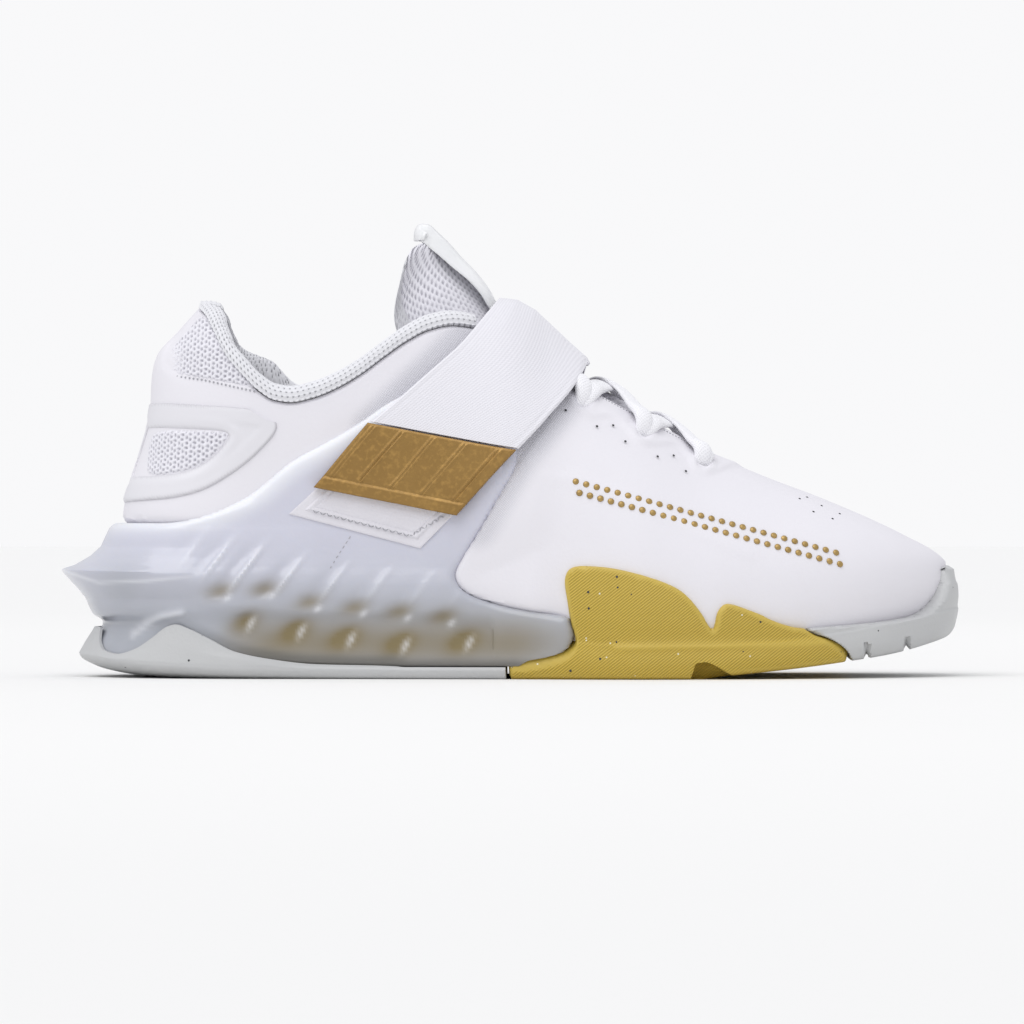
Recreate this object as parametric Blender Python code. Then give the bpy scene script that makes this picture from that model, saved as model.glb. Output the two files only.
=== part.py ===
"""Weightlifting shoe for the right foot, empty and standing on its sole.

Metres, +Z up, the toe towards +X, the outer side of the foot towards -Y, the floor at Z = 0.
Every piece follows one body, the lasted form of the foot, which short tables of shares give.
While it is being worked out, x runs from the tip of the heel spur; place() moves it to the middle.
"""

import math

import bmesh
import bpy
import numpy as np
from mathutils import Matrix

# Overall sizes
SHOE_LENGTH = 0.304
BALL_WIDTH = 0.104
COLLAR_HEIGHT = 0.126
CLEARANCE = 0.0003

# Lasted body
HEEL_ROUND = 0.036
TOE_ROUND = 0.056
HEEL_POWER = 2.15
TOE_POWER = 2.35
FEATHER_TUCK = 0.0035
MIDDLE_HEIGHT = 0.32 * COLLAR_HEIGHT
MIDDLE_HEEL = 0.19 * SHOE_LENGTH
MIDDLE_TOE = 0.80 * SHOE_LENGTH

# Facets
STATIONS = 28
ROWS = 13
END_DENSITY = 0.35

# Walls and layers, counted outwards from the body's surface
UPPER_WALL = 0.0024
COUNTER_TOP = 0.0015
CAGE_WALL = 0.0018
PATCH_UNDER = 0.0023
PATCH_TOP = 0.0031
STRAP_UNDER = 0.0035
STRAP_THICK = 0.0015
TAB_TOP = 0.0058
HEEL_WALL_EXTRA = 0.0043
FRONT_WALL = 0.0021
TOE_WALL_EXTRA = 0.0013
INSOLE_THICK = 0.0038
INSOLE_LIP = 0.0015
INSOLE_BEVEL = 0.006
LINING_THICK = 0.0072

# The body's sections from heel to toe. Lengths along the shoe are shares of SHOE_LENGTH, widths of
# BALL_WIDTH and heights of COLLAR_HEIGHT. floor is the foot bed's edge, roof the top of the section,
# belly the share of the section's height where it is widest, full its squareness.
LAST = (
    # along, centre, half, floor, roof, belly, full
    (0.070, 0.000, 0.337, 0.214, 1.330, 0.13, 2.40),
    (0.155, 0.000, 0.337, 0.214, 1.340, 0.13, 2.40),
    (0.222, -0.010, 0.346, 0.210, 1.340, 0.13, 2.40),
    (0.299, -0.020, 0.346, 0.194, 1.320, 0.13, 2.30),
    (0.377, -0.030, 0.356, 0.167, 1.240, 0.13, 2.30),
    (0.443, -0.030, 0.380, 0.143, 1.086, 0.14, 2.40),
    (0.491, -0.027, 0.404, 0.125, 0.975, 0.15, 2.60),
    (0.538, -0.022, 0.433, 0.110, 0.862, 0.16, 2.40),
    (0.599, -0.014, 0.476, 0.095, 0.780, 0.17, 2.15),
    (0.654, -0.003, 0.500, 0.091, 0.702, 0.18, 2.05),
    (0.710, 0.014, 0.500, 0.091, 0.614, 0.20, 2.05),
    (0.776, 0.038, 0.486, 0.099, 0.543, 0.24, 2.15),
    (0.843, 0.060, 0.460, 0.119, 0.481, 0.30, 2.30),
    (0.898, 0.077, 0.440, 0.143, 0.425, 0.35, 2.45),
    (0.937, 0.087, 0.420, 0.163, 0.380, 0.40, 2.55),
    (0.981, 0.096, 0.400, 0.187, 0.318, 0.42, 2.60),
    (0.990, 0.098, 0.400, 0.190, 0.290, 0.42, 2.60),
)

# The body's back and front in side view.
HEEL_PROFILE = (
    # up, along
    (0.100, 0.1050),
    (0.214, 0.0890),
    (0.300, 0.0785),
    (0.380, 0.0745),
    (0.420, 0.0745),
    (0.540, 0.0805),
    (0.670, 0.0945),
    (0.790, 0.1020),
    (0.860, 0.1085),
    (0.930, 0.1300),
    (1.000, 0.1550),
    (1.100, 0.1850),
    (1.400, 0.2300),
)
TOE_PROFILE = (
    # up, along
    (0.10, 0.962),
    (0.19, 0.978),
    (0.26, 0.985),
    (0.32, 0.985),
    (0.60, 0.983),
)

# The upper's top edge in side view, from the middle of the heel to the middle of the throat.
COLLAR_EDGE = (
    # along, up
    (0.1540, 0.9850),
    (0.1620, 0.9650),
    (0.1750, 0.9050),
    (0.1860, 0.8550),
    (0.2050, 0.8000),
    (0.2200, 0.7640),
    (0.2390, 0.7360),
    (0.2570, 0.7300),
    (0.2830, 0.7430),
    (0.3080, 0.7680),
    (0.3340, 0.8050),
    (0.3590, 0.8500),
    (0.3850, 0.8940),
    (0.4100, 0.9250),
    (0.4360, 0.9380),
    (0.4620, 0.9300),
    (0.4860, 0.9050),
    (0.5100, 0.8690),
    (0.5430, 0.8235),
    (0.5950, 0.7550),
    (0.6360, 0.7030),
    (0.6600, 0.6750),
    (0.6860, 0.6430),
    (0.7080, 0.6120),
    (0.7220, 0.5970),
    (0.7295, 0.5900),
)

# How the stations lean: where each leaves the sole's edge and where it reaches the top edge.
FAN = (
    # foot, edge
    (0.0890, 0.1540),
    (0.0998, 0.1620),
    (0.1330, 0.1840),
    (0.1885, 0.2240),
    (0.2550, 0.2550),
    (0.3215, 0.3050),
    (0.3880, 0.3660),
    (0.4545, 0.4270),
    (0.5210, 0.4880),
    (0.5876, 0.5430),
    (0.6540, 0.5990),
    (0.7206, 0.6486),
    (0.7870, 0.6874),
    (0.8537, 0.7150),
    (0.9146, 0.7250),
    (0.9557, 0.7284),
    (0.9780, 0.7295),
)

# The sole's underside in side view: flat from heel to ball, then the toe spring.
TREAD = (
    # along, up
    (0.040, 0.0000),
    (0.700, 0.0000),
    (0.740, 0.0107),
    (0.816, 0.0300),
    (0.871, 0.0470),
    (0.916, 0.0635),
    (0.961, 0.0895),
    (0.990, 0.1120),
)

# How much of the heel's own section each station takes, by its share of the way from heel to toe.
HEEL_BLEND = (
    # way, blend
    (0.00, 1.00),
    (0.03, 0.90),
    (0.06, 0.68),
    (0.10, 0.42),
    (0.14, 0.25),
    (0.20, 0.12),
    (0.30, 0.03),
    (0.40, 0.00),
)
WAIST_BLEND = (
    # along, blend
    (0.360, 0.00),
    (0.420, 0.20),
    (0.500, 0.80),
    (0.550, 1.00),
)
TOE_BLEND = (
    # way, blend
    (0.70, 0.00),
    (0.82, 0.25),
    (0.92, 0.80),
    (1.00, 1.00),
)

# The heel sole's section, counted out from the sole's edge: shares of COLLAR_HEIGHT and BALL_WIDTH.
HEEL_SOLE = (
    # heel up, heel out, side up, side out, waist out
    (0.0000, -0.0846, 0.0000, 0.0480, 0.0180),
    (0.0130, 0.0760, 0.0030, 0.0580, 0.0260),
    (0.0340, 0.1630, 0.0080, 0.0640, 0.0330),
    (0.0560, 0.2040, 0.0170, 0.0680, 0.0390),
    (0.0640, 0.2080, 0.0310, 0.0690, 0.0430),
    (0.0950, 0.1870, 0.0640, 0.0690, 0.0460),
    (0.1620, 0.1440, 0.1620, 0.0640, 0.0450),
    (0.1620, 0.1300, 0.1620, 0.0490, 0.0300),
    (0.0950, 0.1730, 0.0640, 0.0550, 0.0300),
    (0.0655, 0.1880, 0.0310, 0.0550, 0.0290),
    (0.0440, 0.0760, 0.0310, 0.0500, 0.0270),
    (0.0310, -0.0846, 0.0310, 0.0460, 0.0250),
)

# The cage's section up to where its wall begins, counted out from the sole's edge and the body.
CAGE_SIDE = (
    # heel up, heel out, side up, side out, waist out
    (0.0335, -0.0846, 0.0335, 0.0460, 0.0250),
    (0.0465, 0.0760, 0.0335, 0.0490, 0.0330),
    (0.0680, 0.1840, 0.0340, 0.0515, 0.0400),
    (0.0960, 0.1690, 0.0640, 0.0520, 0.0450),
    (0.1490, 0.1310, 0.1490, 0.0465, 0.0400),
    (0.1700, 0.1640, 0.1700, 0.0610, 0.0330),
    (0.1850, 0.1740, 0.1850, 0.0670, 0.0290),
    (0.2190, 0.1940, 0.2190, 0.0620, 0.0240),
    (0.2620, 0.2220, 0.2520, 0.0520, 0.0210),
    (0.2840, 0.2370, 0.2750, 0.0390, 0.0200),
    (0.3000, 0.1900, 0.2950, 0.0310, 0.0190),
    (0.3240, 0.1350, 0.3200, 0.0225, 0.0180),
    (0.3500, 0.0960, 0.3500, 0.0190, 0.0175),
    (0.3960, 0.0680, 0.3960, 0.0175, 0.0175),
)

# The front sole's section. rise is the share of the way from the tread to the foot bed's edge.
FRONT_SIDE = (
    # rise, ball out, toe out
    (0.00, 0.0180, 0.0060),
    (0.07, 0.0330, 0.0270),
    (0.28, 0.0430, 0.0470),
    (0.62, 0.0470, 0.0580),
    (0.82, 0.0440, 0.0620),
    (1.00, 0.0390, 0.0620),
    (1.35, 0.0270, 0.0530),
    (1.75, 0.0215, 0.0400),
)

# Outlines in side view, shares of SHOE_LENGTH along and of COLLAR_HEIGHT up.
CAGE_OUTLINE = (
    (-0.080, 0.4171),
    (0.0676, 0.4171),
    (0.1031, 0.4118),
    (0.1286, 0.4144),
    (0.1663, 0.4358),
    (0.1940, 0.4652),
    (0.2195, 0.4973),
    (0.2572, 0.5775),
    (0.2960, 0.6257),
    (0.3337, 0.6788),
    (0.3592, 0.7246),
    (0.3847, 0.7727),
    (0.4213, 0.8529),
    (0.4545, 0.8797),
    (0.4856, 0.8155),
    (0.5089, 0.5775),
    (0.4645, 0.3904),
    (0.4412, 0.3021),
    (0.4357, 0.2674),
    (0.4468, 0.2273),
    (0.4778, 0.2005),
    (0.5211, 0.1791),
    (0.5620, 0.1658),
)
LIP = (
    (0.5610, 0.1497),
    (0.5661, 0.1123),
    (0.5661, 0.0882),
    (0.5590, 0.0600),
    (0.5388, 0.0415),
    (0.5100, 0.0300),
)
FIN_OUTER = (
    (0.5599, 0.2059),
    (0.5565, 0.2513),
    (0.5581, 0.2807),
    (0.5654, 0.2984),
    (0.5843, 0.3005),
    (0.6120, 0.2941),
    (0.6486, 0.2727),
    (0.6774, 0.2473),
    (0.6929, 0.2193),
    (0.7062, 0.1778),
    (0.7167, 0.1364),
    (0.7202, 0.1283),
    (0.7228, 0.1471),
    (0.7244, 0.1738),
    (0.7313, 0.1979),
    (0.7395, 0.2005),
    (0.7594, 0.1829),
    (0.7882, 0.1524),
    (0.8104, 0.1360),
    (0.8226, 0.1345),
)
FIN_INNER = (
    (0.5640, 0.1700),
    (0.5760, 0.2150),
    (0.5950, 0.2300),
    (0.6300, 0.2230),
    (0.6900, 0.1950),
    (0.7500, 0.1680),
    (0.8000, 0.1440),
    (0.8226, 0.1400),
)
FIN_END = (
    (0.8226, 0.1310),
    (0.8559, 0.0922),
    (0.8708, 0.0535),
    (0.8747, -0.0348),
)
BUMPER_TOP = (
    (0.8100, 0.1345),
    (0.8603, 0.1401),
    (0.9235, 0.1524),
    (0.9568, 0.1658),
    (0.9745, 0.1925),
    (0.9834, 0.2259),
    (0.9856, 0.2594),
    (0.9856, 0.2995),
    (0.9922, 0.3032),
    (1.0800, 0.3032),
)
WAVE = (
    (-0.0800, 0.1364),
    (0.0355, 0.1364),
    (0.0432, 0.0963),
    (0.0521, 0.0749),
    (0.0676, 0.0668),
    (0.0843, 0.0789),
    (0.1031, 0.1110),
    (0.1186, 0.1401),
    (0.1286, 0.1463),
    (0.1419, 0.1364),
    (0.1663, 0.1096),
    (0.1962, 0.0749),
    (0.2328, 0.0561),
    (0.2827, 0.0420),
    (0.3747, 0.0360),
    (0.3902, 0.0298),
    (0.6208, 0.0298),
)
NOTCH = (
    (0.6962, -0.0348),
    (0.6962, 0.0053),
    (0.7007, 0.0428),
    (0.7118, 0.0468),
    (0.7195, 0.0401),
    (0.7402, 0.0107),
    (0.7428, -0.0348),
)
COUNTER = (
    (0.0200, 0.7360),
    (0.1175, 0.7326),
    (0.2095, 0.7166),
    (0.2328, 0.7032),
    (0.2417, 0.6818),
    (0.2428, 0.6604),
    (0.2350, 0.6310),
    (0.2095, 0.5695),
    (0.1685, 0.5027),
    (0.1330, 0.4759),
    (0.0200, 0.4560),
)
WINDOW = (
    (0.0200, 0.6658),
    (0.1120, 0.6658),
    (0.1863, 0.6564),
    (0.1912, 0.6390),
    (0.1685, 0.5775),
    (0.1430, 0.5455),
    (0.1042, 0.5348),
    (0.0200, 0.5348),
)

# Lining and roll along the collar's edge: height of the roll by its place along the shoe.
ROLL = (
    # along, up
    (0.150, 0.0160),
    (0.170, 0.0260),
    (0.200, 0.0400),
    (0.240, 0.0440),
    (0.500, 0.0440),
)

# The roll's section: shares of LINING_THICK out from the body, negative inwards, and of its height.
ROLL_SECTION = (
    # out, up
    (0.083, 0.00),
    (0.167, 0.50),
    (-0.083, 0.93),
    (-0.444, 1.00),
    (-0.833, 0.66),
)
# The lining inside: the body's row that each part follows and its depth as a share of LINING_THICK.
LINING_ROWS = (
    # row, depth
    (-2, 1.00),
    (-3, 0.86),
    (-4, 0.56),
)

# The tongue from its root under the lace to its top. over and beside are its depths under the body.
TONGUE = (
    # middle along, edge along, edge up, over, beside, thick
    (0.6984, 0.6984, 0.5535, -0.0030, -0.0034, 0.0020),
    (0.6430, 0.6264, 0.6340, -0.0030, -0.0038, 0.0028),
    (0.5876, 0.5543, 0.7005, -0.0030, -0.0040, 0.0034),
    (0.5377, 0.4878, 0.7540, -0.0030, -0.0058, 0.0038),
    (0.4911, 0.4268, 0.8075, -0.0022, -0.0092, 0.0042),
    (0.4601, 0.3880, 0.8880, -0.0008, -0.0096, 0.0046),
    (0.4379, 0.3736, 0.9680, 0.0000, -0.0090, 0.0048),
    (0.4180, 0.3814, 1.1000, 0.0000, -0.0020, 0.0048),
    (0.4102, 0.3880, 1.1360, -0.0008, -0.0020, 0.0034),
)
TONGUE_COLUMNS = 9

# The strap's edges on the body's surface, from its outer end over the instep to its inner root.
STRAP = (
    # side, rear along, rear up, front along, front up
    (-1, 0.3475, 0.6765, 0.5070, 0.6020),
    (1, 0.4100, 0.4700, 0.5180, 0.4300),
)
STRAP_STEPS = 9
TAB_CORNERS = (
    (0.3437, 0.6738),
    (0.5044, 0.5976),
    (0.4412, 0.4305),
    (0.2838, 0.5053),
)
PATCH_CORNERS = (
    (0.3480, 0.6400),
    (0.4890, 0.5600),
    (0.3947, 0.3460),
    (0.2627, 0.4920),
)

# The pull tab's middle line over the tongue.
PULL_TAB = (
    # along, up
    (0.4800, 1.0080),
    (0.4734, 1.0400),
    (0.4601, 1.0830),
    (0.4435, 1.1240),
    (0.4302, 1.1600),
    (0.4157, 1.1900),
    (0.4060, 1.2070),
    (0.3970, 1.2060),
    (0.3940, 1.1880),
    (0.3940, 1.1690),
)
PULL_WIDTH = 0.017
PULL_THICK = 0.0018

EYELETS = (
    (0.5133, 0.8150),
    (0.5787, 0.7326),
    (0.6452, 0.6524),
    (0.7106, 0.5722),
)
EYELET_HOLE = 0.0021
LACE_WIDTH = 0.0056
LACE_THICK = 0.0022
LACE_LIFT = 0.0006
LACE_STEP = 0.0003

# Slots between the cage's ribs, in side view. radius is a share of COLLAR_HEIGHT.
RIB_DEPTH = 0.0015
RIBS = (
    # low along, low up, high along, high up, radius
    (0.1960, 0.2350, 0.2273, 0.3316, 0.026),
    (0.2440, 0.2150, 0.2672, 0.2968, 0.026),
    (0.2905, 0.2050, 0.3140, 0.2861, 0.026),
    (0.3370, 0.2000, 0.3590, 0.2760, 0.026),
    (0.3810, 0.1980, 0.4010, 0.2650, 0.024),
)

COLOURS = {
    "white": (0.82, 0.81, 0.85),
    "clear": (0.62, 0.67, 0.76),
    "gold_rubber": (0.50, 0.36, 0.07),
    "grey_rubber": (0.60, 0.62, 0.62),
    "gold": (0.36, 0.21, 0.06),
    "knit": (0.72, 0.72, 0.74),
}


class Curve:
    """A smooth curve through a table's points that doesn't overshoot them."""

    def __init__(self, at, values):
        self.x = np.asarray(at, float)
        self.y = np.asarray(values, float)
        self.step = np.diff(self.x)
        slope = np.diff(self.y) / self.step
        tangent = np.zeros_like(self.y)
        left = 2 * self.step[1:] + self.step[:-1]
        right = self.step[1:] + 2 * self.step[:-1]
        with np.errstate(divide="ignore", invalid="ignore"):
            mean = (left + right) / (left / slope[:-1] + right / slope[1:])
        tangent[1:-1] = np.where(slope[:-1] * slope[1:] > 0, mean, 0.0)
        tangent[0] = slope[0]
        tangent[-1] = slope[-1]
        self.tangent = tangent

    def __call__(self, x):
        x = np.clip(np.asarray(x, float), self.x[0], self.x[-1])
        i = np.clip(np.searchsorted(self.x, x, side="right") - 1, 0, len(self.step) - 1)
        h = self.step[i]
        t = (x - self.x[i]) / h
        start = (1 + 2 * t) * (1 - t) ** 2 * self.y[i] + t * (1 - t) ** 2 * h * self.tangent[i]
        end = t * t * (3 - 2 * t) * self.y[i + 1] - t * t * (1 - t) * h * self.tangent[i + 1]
        return start + end


def column(table, key, value, key_size=1.0, value_size=1.0):
    """The curve of one column of a table against another, in metres."""
    rows = np.array(table, float)
    return Curve(rows[:, key] * key_size, rows[:, value] * value_size)


centre_line = column(LAST, 0, 1, SHOE_LENGTH, BALL_WIDTH)
half_breadth = column(LAST, 0, 2, SHOE_LENGTH, BALL_WIDTH)
bed_height = column(LAST, 0, 3, SHOE_LENGTH, COLLAR_HEIGHT)
roof_height = column(LAST, 0, 4, SHOE_LENGTH, COLLAR_HEIGHT)
belly_share = column(LAST, 0, 5, SHOE_LENGTH)
fullness = column(LAST, 0, 6, SHOE_LENGTH)
heel_back = column(HEEL_PROFILE, 0, 1, COLLAR_HEIGHT, SHOE_LENGTH)
toe_front = column(TOE_PROFILE, 0, 1, COLLAR_HEIGHT, SHOE_LENGTH)
edge_height = column(COLLAR_EDGE, 0, 1, SHOE_LENGTH, COLLAR_HEIGHT)
edge_along = column(FAN, 0, 1, SHOE_LENGTH, SHOE_LENGTH)
tread_height = column(TREAD, 0, 1, SHOE_LENGTH, COLLAR_HEIGHT)
roll_height = column(ROLL, 0, 1, SHOE_LENGTH, COLLAR_HEIGHT)
heel_blend = column(HEEL_BLEND, 0, 1)
waist_blend = column(WAIST_BLEND, 0, 1, SHOE_LENGTH)
toe_blend = column(TOE_BLEND, 0, 1)


def end_rounding(reach, length, power):
    """Share of the full width at a distance in from the heel's or toe's end."""
    inward = np.clip(reach / length, 0.0, 1.0)
    return (1 - (1 - inward) ** power) ** (1 / power)


def half_width(x, z):
    """Half the body's width at a length and a height, 0 outside it."""
    bed = bed_height(x)
    roof = roof_height(x)
    widest = bed + belly_share(x) * (roof - bed)
    power = fullness(x)
    rise = np.clip((z - widest) / (roof - widest), 0.0, 1.0)
    dome = (1 - rise**power) ** (1 / power)
    below = np.clip((widest - z) / (widest - bed), 0.0, 2.0)
    tuck = FEATHER_TUCK * below**2
    heel = end_rounding(x - heel_back(z), HEEL_ROUND, HEEL_POWER)
    toe = end_rounding(toe_front(z) - x, TOE_ROUND, TOE_POWER)
    return np.maximum(half_breadth(x) * dome - tuck, 0.0) * heel * toe


def cast(origin, through):
    """Where the ray from a point inside the body through another point leaves the body."""
    ray = through - origin
    near = np.zeros(ray.shape[:-1])
    far = np.full(ray.shape[:-1], 4.0)
    for _ in range(32):
        middle = (near + far) / 2
        p = origin + ray * middle[..., None]
        inside = np.abs(p[..., 1] - centre_line(p[..., 0])) < half_width(p[..., 0], p[..., 2])
        near = np.where(inside, middle, near)
        far = np.where(inside, far, middle)
    return origin + ray * near[..., None]


def on_body(side, x, z):
    """The body's surface at a length and a height on one side, and its outward normal there."""
    step = 0.0004
    point = np.array([x, centre_line(x) + side * half_width(x, z), z])
    slope_x = half_width(x + step, z) - half_width(x - step, z)
    slope_z = half_width(x, z + step) - half_width(x, z - step)
    turn = centre_line(x + step) - centre_line(x - step)
    normal = np.array([-(slope_x + side * turn), 2 * step * side, -slope_z])
    return point, normal / np.linalg.norm(normal)


def unit(vectors):
    return vectors / np.linalg.norm(vectors, axis=-1, keepdims=True)


class Ring:
    """Stations round the whole body: heel to toe on the outer side, and back on the inner side."""

    def __init__(self, stations, rows):
        self.stations = stations
        start = float(heel_back(bed_height(0.09 * SHOE_LENGTH)))
        end = float(toe_front(bed_height(0.975 * SHOE_LENGTH)))
        turn = np.linspace(0, math.pi, 3001)
        x = start + (end - start) * (1 - np.cos(turn)) / 2
        y = half_width(x, bed_height(x))
        run = np.concatenate([[0], np.cumsum(np.hypot(np.diff(x), np.diff(y)))])
        way = np.linspace(0, 1, stations)
        way = way - END_DENSITY * np.sin(2 * math.pi * way) / (2 * math.pi)
        lengths = np.interp(way * run[-1], run, x)
        halves = [self.side_grid(side, lengths, np.linspace(0, 1, rows)) for side in (-1, 1)]
        self.points = np.concatenate([halves[0], halves[1][-2:0:-1]])
        self.way = np.concatenate([way, way[-2:0:-1]])
        self.length = np.concatenate([lengths, lengths[-2:0:-1]])
        around = np.roll(self.points, -1, 0) - np.roll(self.points, 1, 0)
        self.normals = unit(np.cross(around, np.gradient(self.points, axis=1)))
        flat = np.cross(around[:, 0] * (1, 1, 0), (0, 0, 1.0))
        self.outward = unit(flat)
        spine = np.clip(self.length, MIDDLE_HEEL, MIDDLE_TOE)
        self.spine = np.stack([spine, centre_line(spine)], -1)

    @staticmethod
    def side_grid(side, lengths, rows):
        ends = np.ones_like(lengths)
        ends[0] = 0.0
        ends[-1] = 0.0
        z_low = bed_height(lengths)
        low_y = centre_line(lengths) + side * half_width(lengths, z_low) * ends
        low = np.stack([lengths, low_y, z_low], -1)
        x_top = edge_along(lengths)
        z_top = edge_height(x_top)
        top_y = centre_line(x_top) + side * half_width(x_top, z_top) * ends
        top = np.stack([x_top, top_y, z_top], -1)
        x_mid = np.clip((lengths + x_top) / 2, MIDDLE_HEEL, MIDDLE_TOE)
        middle = np.stack([x_mid, centre_line(x_mid), np.full_like(x_mid, MIDDLE_HEIGHT)], -1)
        share = rows[None, :, None]
        through = low[:, None] * (1 - share) + top[:, None] * share
        return cast(np.broadcast_to(middle[:, None], through.shape), through)

    def span_heel(self, last):
        """Stations from one outer station back round the heel to the same one on the inner side."""
        return [k % len(self.points) for k in range(last, -last - 1, -1)]

    def span_toe(self, first):
        """Stations from one outer station on round the toe to the same one on the inner side."""
        return list(range(first, 2 * self.stations - 1 - first))

    def station_at(self, share):
        return int(np.searchsorted(self.length[: self.stations], share * SHOE_LENGTH))

    def at_height(self, k, z):
        """The point of a station's line at a height, or its foot where the height is below it."""
        line = self.points[k]
        z_on = min(max(z, line[0, 2]), line[-1, 2])
        return np.array([np.interp(z_on, line[:, 2], line[:, i]) for i in range(3)])

    def beside(self, k, z, out):
        point = self.at_height(k, z) + self.outward[k] * out
        point[2] = z
        return point

    def on_spine(self, k, z):
        return np.array([self.spine[k, 0], self.spine[k, 1], z])


def place(points):
    """Moves a point from the working frame to the shoe's own, with its origin under the middle."""
    return [(p[0] - SHOE_LENGTH / 2, p[1], p[2]) for p in points]


def material(name):
    found = bpy.data.materials.get(name)
    if found:
        return found
    made = bpy.data.materials.new(name)
    made.use_nodes = True
    made.node_tree.nodes["Principled BSDF"].inputs["Base Color"].default_value = (*COLOURS[name], 1)
    return made


def solid(name, points, faces, look):
    """One closed body from points and faces: doubled points welded, faces turned outwards."""
    mesh = bpy.data.meshes.new(name)
    mesh.from_pydata(place(points), [], faces)
    body = bmesh.new()
    body.from_mesh(mesh)
    bmesh.ops.remove_doubles(body, verts=body.verts, dist=1e-6)
    bmesh.ops.dissolve_degenerate(body, edges=body.edges, dist=1e-7)
    bmesh.ops.triangulate(body, faces=body.faces)
    bmesh.ops.recalc_face_normals(body, faces=body.faces)
    if body.calc_volume(signed=True) < 0:
        bmesh.ops.reverse_faces(body, faces=body.faces)
    body.to_mesh(mesh)
    body.free()
    piece = bpy.data.objects.new(name, mesh)
    bpy.context.scene.collection.objects.link(piece)
    if look:
        mesh.materials.append(material(look))
    return piece


def sweep(name, profiles, look, closed_profile=True, closed_path=False):
    """A body from equal closed profiles along a path, with a cap at each end of an open path."""
    count = len(profiles[0])
    points = [p for profile in profiles for p in profile]
    faces = []
    total = len(profiles)
    for i in range(total if closed_path else total - 1):
        a = i * count
        b = (i + 1) % total * count
        for j in range(count if closed_profile else count - 1):
            k = (j + 1) % count
            faces.append((a + j, b + j, b + k, a + k))
    if not closed_path:
        faces.append(tuple(range(count)))
        faces.append(tuple(reversed(range((total - 1) * count, total * count))))
    return solid(name, points, faces, look)


def tray(name, profiles, look, full=False):
    """A body whose profiles all start and end on the shoe's middle line, under and over it."""
    count = len(profiles[0])
    points = [p for profile in profiles for p in profile]
    faces = []
    total = len(profiles)
    for i in range(total if full else total - 1):
        a = i * count
        b = (i + 1) % total * count
        for j in range(count - 1):
            faces.append((a + j, b + j, b + j + 1, a + j + 1))
    if not full:
        faces.append(tuple(range(count)))
        faces.append(tuple(reversed(range((total - 1) * count, total * count))))
    return solid(name, points, faces, look)


def shell(name, outer, inner, look, wrap=False):
    """A body between two equal grids of points, closed round its border."""
    rows, cols = outer.shape[:2]
    points = list(outer.reshape(-1, 3)) + list(inner.reshape(-1, 3))
    back = rows * cols
    faces = []
    for i in range(rows if wrap else rows - 1):
        n = (i + 1) % rows
        for j in range(cols - 1):
            quad = (i * cols + j, n * cols + j, n * cols + j + 1, i * cols + j + 1)
            faces.append(quad)
            faces.append(tuple(back + v for v in reversed(quad)))
        for j in (0, cols - 1):
            a, b = i * cols + j, n * cols + j
            faces.append((a, b, back + b, back + a))
    if not wrap:
        for i in (0, rows - 1):
            for j in range(cols - 1):
                a = i * cols + j
                faces.append((a, a + 1, back + a + 1, back + a))
    return solid(name, points, faces, look)


def prism(outline, y_low, y_high):
    """A cutter: an outline in side view, in shares, carried across the shoe."""
    flat = [(x * SHOE_LENGTH, z * COLLAR_HEIGHT) for x, z in outline]
    count = len(flat)
    points = [(x, y_low, z) for x, z in flat] + [(x, y_high, z) for x, z in flat]
    faces = [tuple(range(count)), tuple(reversed(range(count, 2 * count)))]
    for i in range(count):
        n = (i + 1) % count
        faces.append((i, n, count + n, count + i))
    return solid("cutter", points, faces, None)


def tube(start, end, radius, sides=8):
    """A cutter: a straight round bar between two points."""
    axis = unit(end - start)
    across = unit(np.cross(axis, (0.3, 0.2, 1.0)))
    other = np.cross(axis, across)
    profiles = []
    for centre in (start, end):
        turns = [2 * math.pi * i / sides for i in range(sides)]
        ring = [centre + radius * (math.cos(t) * across + math.sin(t) * other) for t in turns]
        profiles.append(ring)
    return sweep("cutter", profiles, None)


def combine(piece, cutter, operation="DIFFERENCE"):
    """Applies one exact Boolean to a piece and removes the other body."""
    change = piece.modifiers.new("change", "BOOLEAN")
    change.object = cutter
    change.operation = operation
    change.solver = "EXACT"
    graph = bpy.context.evaluated_depsgraph_get()
    made = bpy.data.meshes.new_from_object(piece.evaluated_get(graph), depsgraph=graph)
    piece.modifiers.clear()
    piece.data = made
    bpy.data.objects.remove(cutter)
    tidy(piece)


def tidy(piece):
    """Welds what a Boolean leaves doubled and drops slivers without changing the form."""
    body = bmesh.new()
    body.from_mesh(piece.data)
    bmesh.ops.remove_doubles(body, verts=body.verts, dist=2e-6)
    bmesh.ops.dissolve_degenerate(body, edges=body.edges, dist=2e-6)
    flat = math.radians(0.5)
    bmesh.ops.dissolve_limit(body, angle_limit=flat, verts=body.verts, edges=body.edges)
    bmesh.ops.triangulate(body, faces=body.faces)
    body.to_mesh(piece.data)
    body.free()


def cut(piece, outline, y_low=-0.2, y_high=0.2):
    combine(piece, prism(outline, y_low, y_high))


def section(ring, k, row):
    """A row of a heel section at one station, as a height and an outset in metres."""
    heel_up, heel_out, side_up, side_out, waist_out = row
    heel = float(heel_blend(ring.way[k]))
    waist = float(waist_blend(ring.length[k]))
    out = side_out + (waist_out - side_out) * waist
    up = side_up + (heel_up - side_up) * heel
    out += (heel_out - out) * heel
    return up * COLLAR_HEIGHT, out * BALL_WIDTH


def make_upper(ring):
    outer = ring.points
    inner = outer - ring.normals * UPPER_WALL
    inner[:, 0] = outer[:, 0] - ring.outward * UPPER_WALL
    upper = shell("upper", outer, inner, "white", wrap=True)
    for side in (-1, 1):
        for x, z in EYELETS:
            point, normal = on_body(side, x * SHOE_LENGTH, z * COLLAR_HEIGHT)
            combine(upper, tube(point - normal * 0.006, point + normal * 0.006, EYELET_HOLE))
    return upper


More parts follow.
